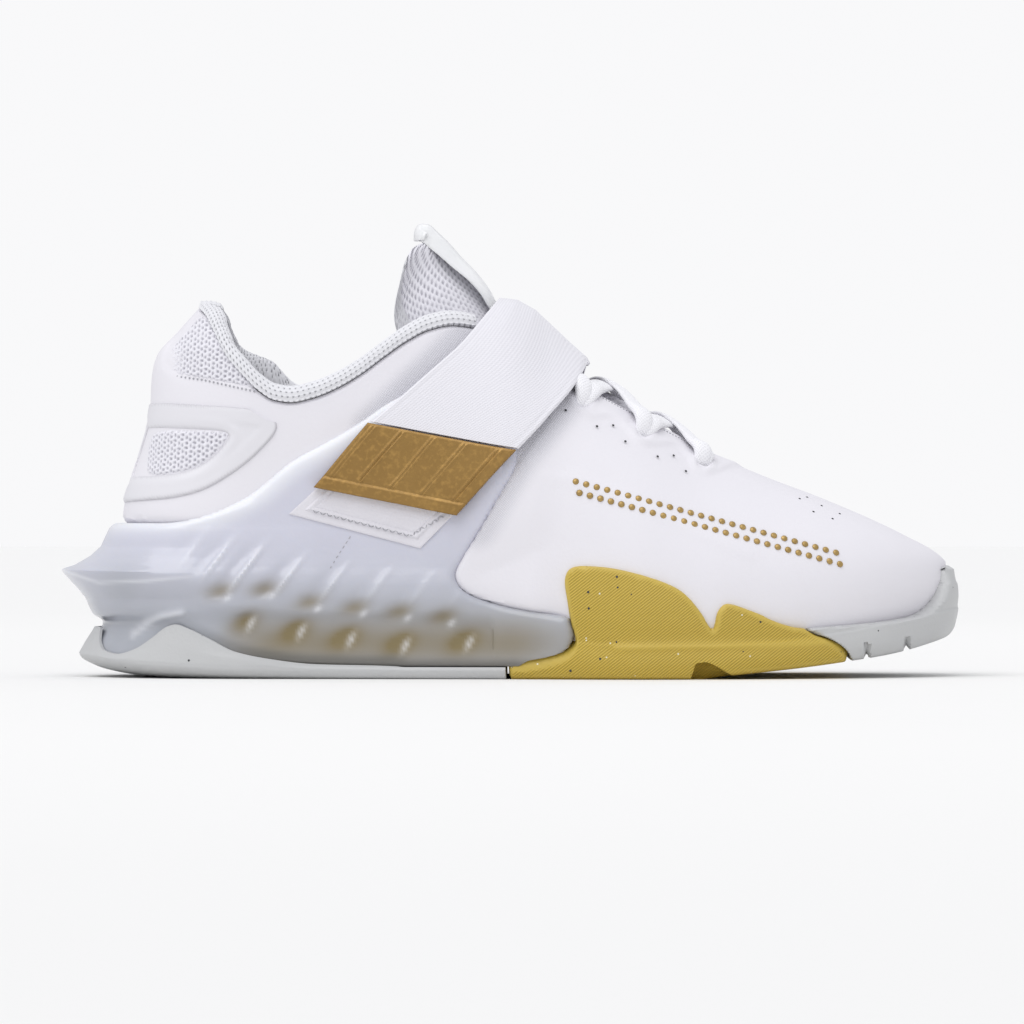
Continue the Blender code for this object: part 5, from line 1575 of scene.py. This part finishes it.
def lining_profile(ring, k):
    """The lining's closed section at one station, from the roll's outer foot round to the wall."""
    line, normals = ring.points[k], ring.normals[k]
    edge, slope = line[-1], normals[-1]
    along = edge[0] / SHOE_LENGTH
    up = unit(edge - line[-2])
    height = float(roll_height(edge[0]))
    if ring.side[k] > 0:
        height += INNER_COLLAR * float(bump(along - 0.226, 0.028))
    level = 0.8 * (1 - float(eased(along, 0.165, 0.20)))
    out = unit(slope * (1 - level) + unit(slope * (1, 1, 0)) * level)
    rim = edge + up * CLEARANCE
    profile = [
        rim + out * 0.0006,
        rim + out * 0.0012 + up * height * 0.5,
        rim - out * 0.0006 + up * height * 0.93,
        rim - out * 0.0032 + up * height,
        rim - out * 0.0060 + up * height * 0.66,
        edge - slope * 0.0074,
    ]
    inside = UPPER_WALL + CLEARANCE
    depths = [(-2, 0.0072), (-3, 0.0062), (-4, 0.0040)]
    depths += [(row, inside) for row in range(-4, 0)]
    for row, depth in depths:
        profile.append(line[row] - normals[row] * depth)
    return [*profile, rim - slope * inside, profile[0]]


def make_lining(looks):
    ring = Ring(spread((0, 0), (0.06, 60), (0.47, 420), (1.0, 30)), np.linspace(0, 1, 13))
    profiles = [lining_profile(ring, k) for k in ring.span_heel(LINING_END)]
    profiles = refine(np.array(profiles), 7, corners=(8, 9, 13))[:, :-1]
    # Every row of the roll that is seen, and few of the wall behind it
    profiles = profiles[:, [*range(57), *range(63, profiles.shape[1], 7)]]
    run = run_lengths(profiles)
    round_roll = run[..., 1]
    # The knit's holes are shallow dips, with painted shade in them through the knit look
    hole_and_shade = holes(run[..., 0] + 0.35 * round_roll, round_roll, KNIT_PITCH, 0.00034)
    hole_and_shade = hole_and_shade * (round_roll < KNIT_REACH)
    off_back = beside_centre(profiles) + 0.2 * (profiles[..., 0] > 0.06)
    hole_and_shade = hole_and_shade * eased(off_back, 0.009, 0.0095)
    way = unit(profiles - profiles.mean(1, keepdims=True))
    knit = 0.00018 * np.cos(round_roll * 2 * math.pi / KNIT_RIB) * (round_roll < KNIT_REACH)
    outer = profiles - way * (0.0004 * hole_and_shade - knit)[..., None]
    lining = rods(
        "collar_lining", outer, looks["knit"], "knit", uv=run, replaces=("collar_lining",),
        values={"hole_and_shade": hole_and_shade},
    )


TONGUE_COLUMNS = 131


def make_tongue(looks):
    outer, inner = [], []
    shares = np.linspace(-1, 1, TONGUE_COLUMNS)
    beside_middle = np.abs(shares)
    side = np.where(shares < 0, -1, 1)
    for x_mid, x_edge, z_edge, over, beside, thick in refine(np.array(TONGUE), 19, axis=0):
        x_mid, x_edge = x_mid * SHOE_LENGTH, x_edge * SHOE_LENGTH
        top = np.array([x_mid, float(centre_line(x_mid)), float(roof_height(x_mid)) - 1e-6])
        edge, _ = on_body(side, x_edge, np.full(TONGUE_COLUMNS, z_edge * COLLAR_HEIGHT))
        x_in = (x_mid + x_edge) / 2
        heart = np.array([x_in, float(centre_line(x_in)), MIDDLE_HEIGHT])
        bent = (beside_middle**0.9)[:, None]
        point = cast(np.broadcast_to(heart, edge.shape), top * (1 - bent) + edge * bent)
        normal = unit(point - heart)
        _, slope = on_body(side, point[:, 0], point[:, 2])
        lean = beside_middle[:, None]
        normal = np.where(lean > 0.01, unit(normal * (1 - lean) + slope * lean), normal)
        depth = over + (beside - over) * np.minimum(1.0, beside_middle / 0.45) ** 0.8
        outer.append(point + normal * depth[:, None])
        inner.append(normal * (thick * (1 - 0.45 * beside_middle**4))[:, None])
    outer, thick = np.array(outer), np.array(inner)
    run = run_lengths(outer)
    across = beside_middle[None, :] * np.ones(outer.shape[:2])
    band = eased(across, 0.80, 0.83)
    mesh = holes(run[..., 1], run[..., 0], 0.0021, 0.00060) * (1 - band)
    knit = holes(run[..., 1], run[..., 0], 0.0017, 0.00034) * eased(across, 0.84, 0.86)
    seam = bump((across - 0.815) * 0.03, 0.0005)
    pad = np.cos(np.clip(across / 0.8, 0, 1) * math.pi / 2)
    rise = 0.0006 * pad - 0.0005 * mesh - 0.0003 * knit - 0.0006 * seam
    rise -= 0.0012 * (1 - rounded(1 - across, 0.05))
    # The mesh's and the knit's holes carry painted shade through their value
    tongue = shell(
        "tongue", outer + unit(thick) * rise[..., None], outer - thick, looks["mesh"], "tongue_mesh",
        uv=run, values={"hole_and_shade": np.maximum(mesh, knit), "band": band}, replaces=("tongue",),
    )


# The strap's rear and front edges over the instep, along
STRAP_REAR = 0.4911
STRAP_FRONT = 0.5831
# The strap's bowed top over the instep
STRAP_CREST = (
    # share across, along, up
    (0.00, 0.4878, 1.0160),
    (0.20, 0.5067, 1.0107),
    (0.40, 0.5266, 0.9840),
    (0.60, 0.5455, 0.9412),
    (0.80, 0.5654, 0.8957),
    (0.95, 0.5831, 0.8583),
    (1.00, 0.5865, 0.8422),
)


def strap_grid(steps, columns):
    """Points and normals over the instep: rows along the strap, columns from its rear to its front."""
    grid = np.zeros((steps, columns, 3))
    normals = np.zeros((steps, columns, 3))
    across = np.linspace(0, 1, columns)
    for i, way in enumerate(np.linspace(-1, 1, steps)):
        side, rear_x, rear_z, front_x, front_z = STRAP[0] if way < 0 else STRAP[1]
        low_x = (rear_x + (front_x - rear_x) * across) * SHOE_LENGTH
        low_z = (rear_z + (front_z - rear_z) * across) * COLLAR_HEIGHT
        x_top = (STRAP_REAR + (STRAP_FRONT - STRAP_REAR) * across) * SHOE_LENGTH
        z_top = roof_height(x_top)
        rise = math.sin(math.pi / 2 * (1 - abs(way)))
        x = low_x + (x_top - low_x) * rise
        z = low_z + (z_top - low_z) * rise
        z = np.minimum(z, roof_height(x))
        point, normal = on_body(side, x, z - 1e-7)
        if abs(way) < 1e-6:
            slope = roof_height(x + 0.001) - roof_height(x - 0.001)
            normal = unit(np.stack([-slope, np.zeros(columns), np.full(columns, 0.002)], -1))
            point[:, 1] = centre_line(x)
        grid[i], normals[i] = point, normal
    return grid, normals


def make_strap(looks):
    grid, normals = strap_grid(181, 61)
    for _ in range(3):
        normals[1:-1] = unit(normals[:-2] + 2 * normals[1:-1] + normals[2:])
    way = np.linspace(-1, 1, len(grid))[:, None, None]
    root = CAGE_WALL + CLEARANCE + 0.0001
    under = STRAP_UNDER + (root - STRAP_UNDER) * np.clip(way, 0, 1) ** 2
    run = run_lengths(grid)
    edge = np.minimum(run[..., 1], run[:, -1:, 1] - run[..., 1])
    thick = STRAP_THICK * (0.35 + 0.65 * rounded(edge + 0.0001, 0.0009))
    thick = (thick - 0.00022 * bump(edge - 0.0022, 0.0004))[..., None]
    bottom = grid + normals * under
    share, along, up = np.array(STRAP_CREST).T
    across = np.linspace(0, 1, grid.shape[1])
    goal = in_metres(np.stack([np.interp(across, share, along), np.interp(across, share, up)], -1))
    reached = (bottom + normals * thick)[len(grid) // 2][:, (0, 2)]
    bow = 1 - eased(np.abs(way), 0.06, 0.60)
    bottom[..., (0, 2)] += bow * (goal - reached)
    top = bottom + normals * thick
    shell("midfoot_strap", top, bottom, looks["strap"], "strap", uv=run, replaces=("midfoot_strap",))


def corner_grid(corners, along, across):
    """The body's outer side between four corners: points, normals, run lengths and shares both ways."""
    rear_top, front_top, front_low, rear_low = in_metres(corners)
    down, share = np.meshgrid(np.linspace(0, 1, along), np.linspace(0, 1, across), indexing="ij")
    down, share = down[..., None], share[..., None]
    top = rear_top + (front_top - rear_top) * share
    low = rear_low + (front_low - rear_low) * share
    flat = top + (low - top) * down
    point, normal = on_body(-1, flat[..., 0], flat[..., 1])
    return point, normal, run_lengths(point), down[..., 0], share[..., 0]


def rim_distance(run, down, share):
    """Distance in from a grid's nearest edge, and the grid's length and width."""
    length, width = run[-1, :, 0].mean(), run[:, -1, 1].mean()
    edge = np.minimum(np.minimum(down, 1 - down) * length, np.minimum(share, 1 - share) * width)
    return edge, length, width


# The tab's rim height, and its pairs of raised ribs by their share of the way across
TAB_RIM = 0.0016
TAB_RIBS = (0.045, 0.235, 0.455, 0.675, 0.90)


def make_strap_tab(looks):
    point, normal, run, down, share = corner_grid(TAB_CORNERS, 90, 150)
    edge, length, width = rim_distance(run, down, share)
    thick = TAB_RIM + (TAB_TOP - STRAP_UNDER - TAB_RIM) * rounded(edge + 0.0001, 0.0011)
    field = eased(down, 0.03, 0.05) * (1 - eased(down, 0.80, 0.83))
    lines = np.zeros_like(down)
    for at in TAB_RIBS:
        for place in (at, at + 0.026):
            lines = np.maximum(lines, bump((share - place) * width, 0.00042))
    thick = thick + 0.0004 * lines * field - 0.00025 * bump((down - 0.815) * length, 0.0004)
    thick = thick + 0.0003 * eased(down, 0.82, 0.86)
    under = point + normal * STRAP_UNDER
    shell(
        "strap_tab", under + normal * thick[..., None], under, looks["satin"], "tab", uv=run,
        replaces=("strap_tab",), sharp=60,
    )


def make_patch(looks):
    point, normal, run, down, share = corner_grid(PATCH_CORNERS, 90, 120)
    edge, _, _ = rim_distance(run, down, share)
    step = eased(edge, 0.0030, 0.0038)
    rise = PATCH_UNDER + 0.0004 * rounded(edge + 0.0001, 0.0006) + 0.0006 * step
    fuzz = 0.00012 * np.sin(run[..., 0] * 5200) * np.sin(run[..., 1] * 4700 + 1)
    rise = rise + fuzz * step - 0.0003 * bump(edge - 0.0052, 0.0004)
    shell(
        "fastener_patch", point + normal * rise[..., None], point + normal * (CAGE_WALL - 0.0004),
        looks["patch"], "patch", uv=run, replaces=("fastener_patch",),
    )


# The lace's thickness, its size at its ends and how deep they lie in the eyelets
LACE_THICK = 0.0019
LACE_END_WIDTH = 0.0058
LACE_END_THICK = 0.0036
LACE_SINK = 0.0036
LACE_STEPS = 45
LACE_SIDES = 28
LACE_RUNS = (
    # outer eyelet, inner eyelet, lift
    (3, 3, 0.0001),
    (0, 1, 0.0002),
    (1, 2, 0.0002),
    (2, 3, 0.0002),
    (1, 0, 0.0018),
    (2, 1, 0.0018),
    (3, 2, 0.0018),
)


def lace_run(first, second, lift):
    """A run of lace from one eyelet up over the throat and down into another: points and normals."""
    starts = []
    for side, (x, z) in ((-1, first), (1, second)):
        point, _ = on_body(side, x, z)
        angle = math.atan2(point[1] - centre_line(point[0]), point[2] - MIDDLE_HEIGHT)
        starts.append((point[0], angle))
    (x_first, angle_first), (x_second, angle_second) = starts
    path, normals = [], []
    for share in np.linspace(0, 1, LACE_STEPS):
        x = x_first + (x_second - x_first) * share
        angle = angle_first + (angle_second - angle_first) * share
        heart = np.array([x, float(centre_line(x)), MIDDLE_HEIGHT])
        far = heart + np.array([0, math.sin(angle), math.cos(angle)]) * 0.05
        point = cast(heart[None], far[None])[0]
        slope = float(roof_height(x + 0.001) - roof_height(x - 0.001)) / 0.002
        normal = unit(np.array([-slope, math.sin(angle), math.cos(angle)]))
        from_end = min(share, 1 - share)
        high = -LACE_SINK + (lift + LACE_SINK) * float(rounded(np.array(from_end), 0.09))
        high += 0.0009 * float(bump(from_end - 0.11, 0.06))
        path.append(point + normal * (high + 0.0008))
        normals.append(normal)
    return np.array(path), np.array(normals)


def make_lace(looks):
    eyelets = in_metres(EYELETS)
    for number, (a, b, lift) in enumerate(LACE_RUNS, 1):
        path, normals = lace_run(eyelets[a], eyelets[b], lift)
        ahead = unit(np.gradient(path, axis=0))
        across = unit(np.cross(ahead, normals))
        up = np.cross(across, ahead)
        share = np.linspace(0, 1, len(path))
        from_end = np.minimum(share, 1 - share)
        width = LACE_END_WIDTH + (LACE_FLAT - LACE_END_WIDTH) * eased(from_end, 0.0, 0.12)
        thick = LACE_END_THICK + (LACE_THICK - LACE_END_THICK) * eased(from_end, 0.08, 0.30)
        turns, wide, tall = oval(LACE_SIDES, 0.8, 0.9)
        sections = path[:, None] + across[:, None] * (width[:, None] / 2 * wide)[..., None]
        sections = sections + up[:, None] * (thick[:, None] / 2 * tall)[..., None]
        length = distance_along(path)
        uv = np.stack(np.broadcast_arrays(length[:, None], (LACE_FLAT * 0.4 * turns)[None]), -1)
        run = rods(
            f"lace_{number}", sections, looks["lace"], "lace", uv=uv, sharp=70,
            replaces=("lace",) if number == 1 else (),
        )


def make_pull_tab(looks):
    line = in_metres(PULL_TAB)
    path = np.stack([line[:, 0], centre_line(line[:, 0]), line[:, 1]], -1)
    path = refine(path, 10, axis=0)
    up = np.cross(unit(np.gradient(path, axis=0)), (0, -1.0, 0))
    share = np.linspace(0, 1, len(path))
    half = PULL_WIDTH / 2 * (1 - 0.12 * bump(share - 0.75, 0.2))
    _, wide, tall = oval(48, 0.45, 0.6)
    rim = 1 + 0.25 * bump(np.abs(wide) - 0.85, 0.12)
    sections = path[:, None] + np.array([0, 1.0, 0]) * (half[:, None] * wide)[..., None]
    drop = (0.0018 + 0.0032 * bump(share - 0.62, 0.30))[:, None] * wide**2
    sections = sections + up[:, None] * (PULL_THICK / 2 * tall * rim - drop)[..., None]
    rods("pull_tab", sections, looks["clear"], "pull_tab", replaces=("pull_tab",), sharp=60)


def stud_tree(look):
    """Geometry nodes that stand one small dome on each point, turned by the point's own ways."""
    tree = bpy.data.node_groups.new("studs", "GeometryNodeTree")
    tree.interface.new_socket("Geometry", in_out="INPUT", socket_type="NodeSocketGeometry")
    size = tree.interface.new_socket("Size", in_out="INPUT", socket_type="NodeSocketVector")
    tree.interface.new_socket("Geometry", in_out="OUTPUT", socket_type="NodeSocketGeometry")

    def add(kind, inputs=None, **settings):
        return add_node(tree, kind, inputs, **settings)

    start = add("NodeGroupInput")
    dome = add("GeometryNodeMeshUVSphere", {"Segments": 10, "Rings": 6, "Radius": 1.0})
    out = add("GeometryNodeInputNamedAttribute", {"Name": "out"}, data_type="FLOAT_VECTOR")
    ahead = add("GeometryNodeInputNamedAttribute", {"Name": "ahead"}, data_type="FLOAT_VECTOR")
    stand = add("FunctionNodeAlignRotationToVector", {"Vector": out.outputs[0]}, axis="Z")
    turned = {"Rotation": stand.outputs[0], "Vector": ahead.outputs[0]}
    turn = add("FunctionNodeAlignRotationToVector", turned, axis="X", pivot_axis="Z")
    placed = {"Points": start.outputs["Geometry"], "Instance": dome.outputs["Mesh"]}
    placed.update({"Rotation": turn.outputs[0], "Scale": start.outputs["Size"]})
    copies = add("GeometryNodeInstanceOnPoints", placed)
    whole = add("GeometryNodeRealizeInstances", {"Geometry": copies.outputs[0]})
    paint = add("GeometryNodeSetMaterial", {"Geometry": whole.outputs[0], "Material": look})
    add("NodeGroupOutput", {"Geometry": paint.outputs[0]})
    return tree, size.identifier


def studs(name, spots, size, look):
    """Repeats one dome over spots, each a point, its outward way and the way along its row."""
    spots = np.array(spots, float)
    mesh = bpy.data.meshes.new(name)
    mesh.from_pydata((spots[:, 0] - SHIFT).tolist(), [], [])
    for key, kind in (("out", 1), ("ahead", 2)):
        layer = mesh.attributes.new(key, "FLOAT_VECTOR", "POINT")
        layer.data.foreach_set("vector", spots[:, kind].astype(np.float32).ravel())
    piece = add_object(name, mesh)
    tree, size_input = stud_tree(look)
    nodes = piece.modifiers.new("studs", "NODES")
    nodes.node_group = tree
    nodes[size_input] = size
    made = evaluated_mesh(piece)
    piece.modifiers.remove(nodes)
    made.name = name
    piece.data = made
    made.polygons.foreach_set("use_smooth", [True] * len(made.polygons))
    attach(piece, "root")


def along_line(line, pitch, side, lift, zigzag=0.0):
    """Spots at an even pitch along an open line in side view, on the body's surface."""
    line = in_metres(line)
    run = distance_along(line)
    spots = []
    for number, at in enumerate(np.arange(pitch / 2, run[-1], pitch)):
        (x, ahead_x), (z, ahead_z) = (np.interp((at, at + 0.001), run, line[:, i]) for i in (0, 1))
        point, normal = on_body(side, x, z)
        ahead = unit(np.array([ahead_x - x + 1e-6, 0.0, ahead_z - z]))
        across = unit(np.cross(normal, ahead))
        lean = zigzag * (1 if number % 2 else -1)
        spots.append((point + normal * lift, normal, unit(ahead + across * lean)))
    return spots


# Lines of small stitches and dots, in side view
EYESTAY_DOTS = (
    ((0.5954, 0.7470), (0.6364, 0.6945)),
    ((0.6596, 0.6660), (0.6862, 0.6330), (0.7084, 0.5990)),
)
HEEL_SEAM = ((0.1200, 0.8060), (0.1608, 0.7920), (0.2190, 0.7600))
CAGE_SEAM = ((0.3248, 0.3797), (0.2993, 0.2861))
PATCH_SEAM = ((0.2820, 0.4440), (0.3900, 0.3780), (0.4280, 0.4320))
SIDE_DOTS = (
    ((0.5643, 0.5250), (0.8640, 0.3274)),
    ((0.5683, 0.4950), (0.8680, 0.2974)),
)


def make_small_repeats(looks):
    pinholes, side_dots, edge_dots, heel_dots, stitches = [], [], [], [], []
    for side in (-1, 1):
        for along, up in PINHOLES:
            point, normal = on_body(side, along * SHOE_LENGTH, up * COLLAR_HEIGHT)
            lift = 0.0006 if along < 0.75 else 0.0001
            pinholes.append((point + normal * lift, normal, (1, 0, 0)))
        for line in EYESTAY_DOTS:
            edge_dots += along_line(line, 0.0011, side, 0.0006)
        heel_dots += along_line(HEEL_SEAM, 0.0014, side, 0.0002)
        seam = along_line(CAGE_SEAM, 0.0019, side, 0.0022)
        for number, (point, normal, ahead) in enumerate(seam):
            stitches.append((point + normal * 0.0022 * (number / len(seam)) ** 2, normal, ahead))
        for line in SIDE_DOTS:
            side_dots += along_line(line, 0.0036, side, 0.0003)
    patch_line = along_line(PATCH_SEAM, 0.0012, -1, PATCH_TOP + 0.0001, zigzag=0.9)
    # The pinholes are near-black domes: painted shade where the holes are
    studs("pinholes", pinholes, (0.00045, 0.00045, 0.00025), looks["dark"])
    studs("eyestay_dots", edge_dots, (0.00030, 0.00030, 0.00020), looks["thread"])
    studs("heel_seam_dots", heel_dots, (0.00036, 0.00036, 0.00025), looks["thread"])
    studs("cage_stitches", stitches, (0.00060, 0.00018, 0.00014), looks["thread"])
    studs("patch_stitches", patch_line, (0.00075, 0.00020, 0.00022), looks["thread"])
    studs("side_dots", side_dots, (0.00115, 0.00115, 0.00050), looks["ink"])


def aim(piece, target):
    way = Vector(target) - piece.location
    piece.rotation_euler = way.to_track_quat("-Z", "Y").to_euler()


def add_lamp(name, kind, at, target, **settings):
    """A lamp that points at a target, with its settings."""
    light = bpy.data.lights.new(name, kind)
    for key, value in settings.items():
        setattr(light, key, value)
    lamp = add_object(name, light)
    lamp.location = at
    aim(lamp, target)


def make_studio():
    scene = bpy.context.scene
    scene.view_settings.view_transform = "Standard"
    scene.view_settings.look = "None"
    world = bpy.data.worlds.new("studio")
    world.use_nodes = True
    tree = world.node_tree
    seen = add_node(tree, "ShaderNodeLightPath").outputs["Is Camera Ray"]
    tones = {"Factor": seen, 6: opaque(ROOM_LIGHT), 7: opaque(BACKDROP)}
    tone = add_node(tree, "ShaderNodeMix", tones, data_type="RGBA").outputs[2]
    tree.links.new(tone, tree.nodes["Background"].inputs["Color"])
    scene.world = world
    floor_look = Look("studio floor", (0.86, 0.857, 0.845), 0.9, Specular_IOR_Level=0.1)
    floor_look.paint(floor_look.mottled(3.0, (0.858, 0.855, 0.842), (0.866, 0.863, 0.850)))
    mesh = bpy.data.meshes.new("floor")
    turns = np.linspace(0, 2 * math.pi, 97)[:-1]
    rim = [(FLOOR_RADIUS * math.cos(t), FLOOR_RADIUS * math.sin(t), 0.0) for t in turns]
    mesh.from_pydata(rim, [], [tuple(range(len(rim)))])
    mesh.materials.append(floor_look.material)
    add_object("floor", mesh)
    add_lamp(
        "soft top light", "SUN", (-0.35, -0.55, 1.2), (0, 0, 0), energy=TOP_LIGHT, angle=math.radians(60)
    )
    strip = {"shape": "RECTANGLE", "size": 0.9, "energy": STRIP_LIGHT}
    add_lamp("strip", "AREA", (-0.25, -0.9, 0.75), (-0.02, 0, 0.05), size_y=0.12, **strip)
    add_lamp("back strip", "AREA", (0.3, 0.9, 0.8), (0, 0, 0.05), size_y=0.2, **strip)
    lens = bpy.data.cameras.new("camera")
    lens.lens = CAMERA_LENS
    camera = add_object("camera", lens)
    camera.location = CAMERA_AT
    camera.rotation_euler = (math.radians(90), 0, 0)
    scene.camera = camera


def main():
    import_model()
    make_studio()
    looks = make_looks()
    make_lace(looks)
    make_upper(looks)
    make_mesh_insets(looks)
    ring = Ring(HEEL_STATIONS, np.linspace(0, 1, HEEL_ROWS))
    make_counter(ring, looks)
    make_cage(ring, looks)
    make_heel_outsole(looks)
    make_front_sole(looks)
    make_insole(looks)
    make_lining(looks)
    make_tongue(looks)
    make_strap(looks)
    make_strap_tab(looks)
    make_patch(looks)
    make_pull_tab(looks)
    make_small_repeats(looks)


main()
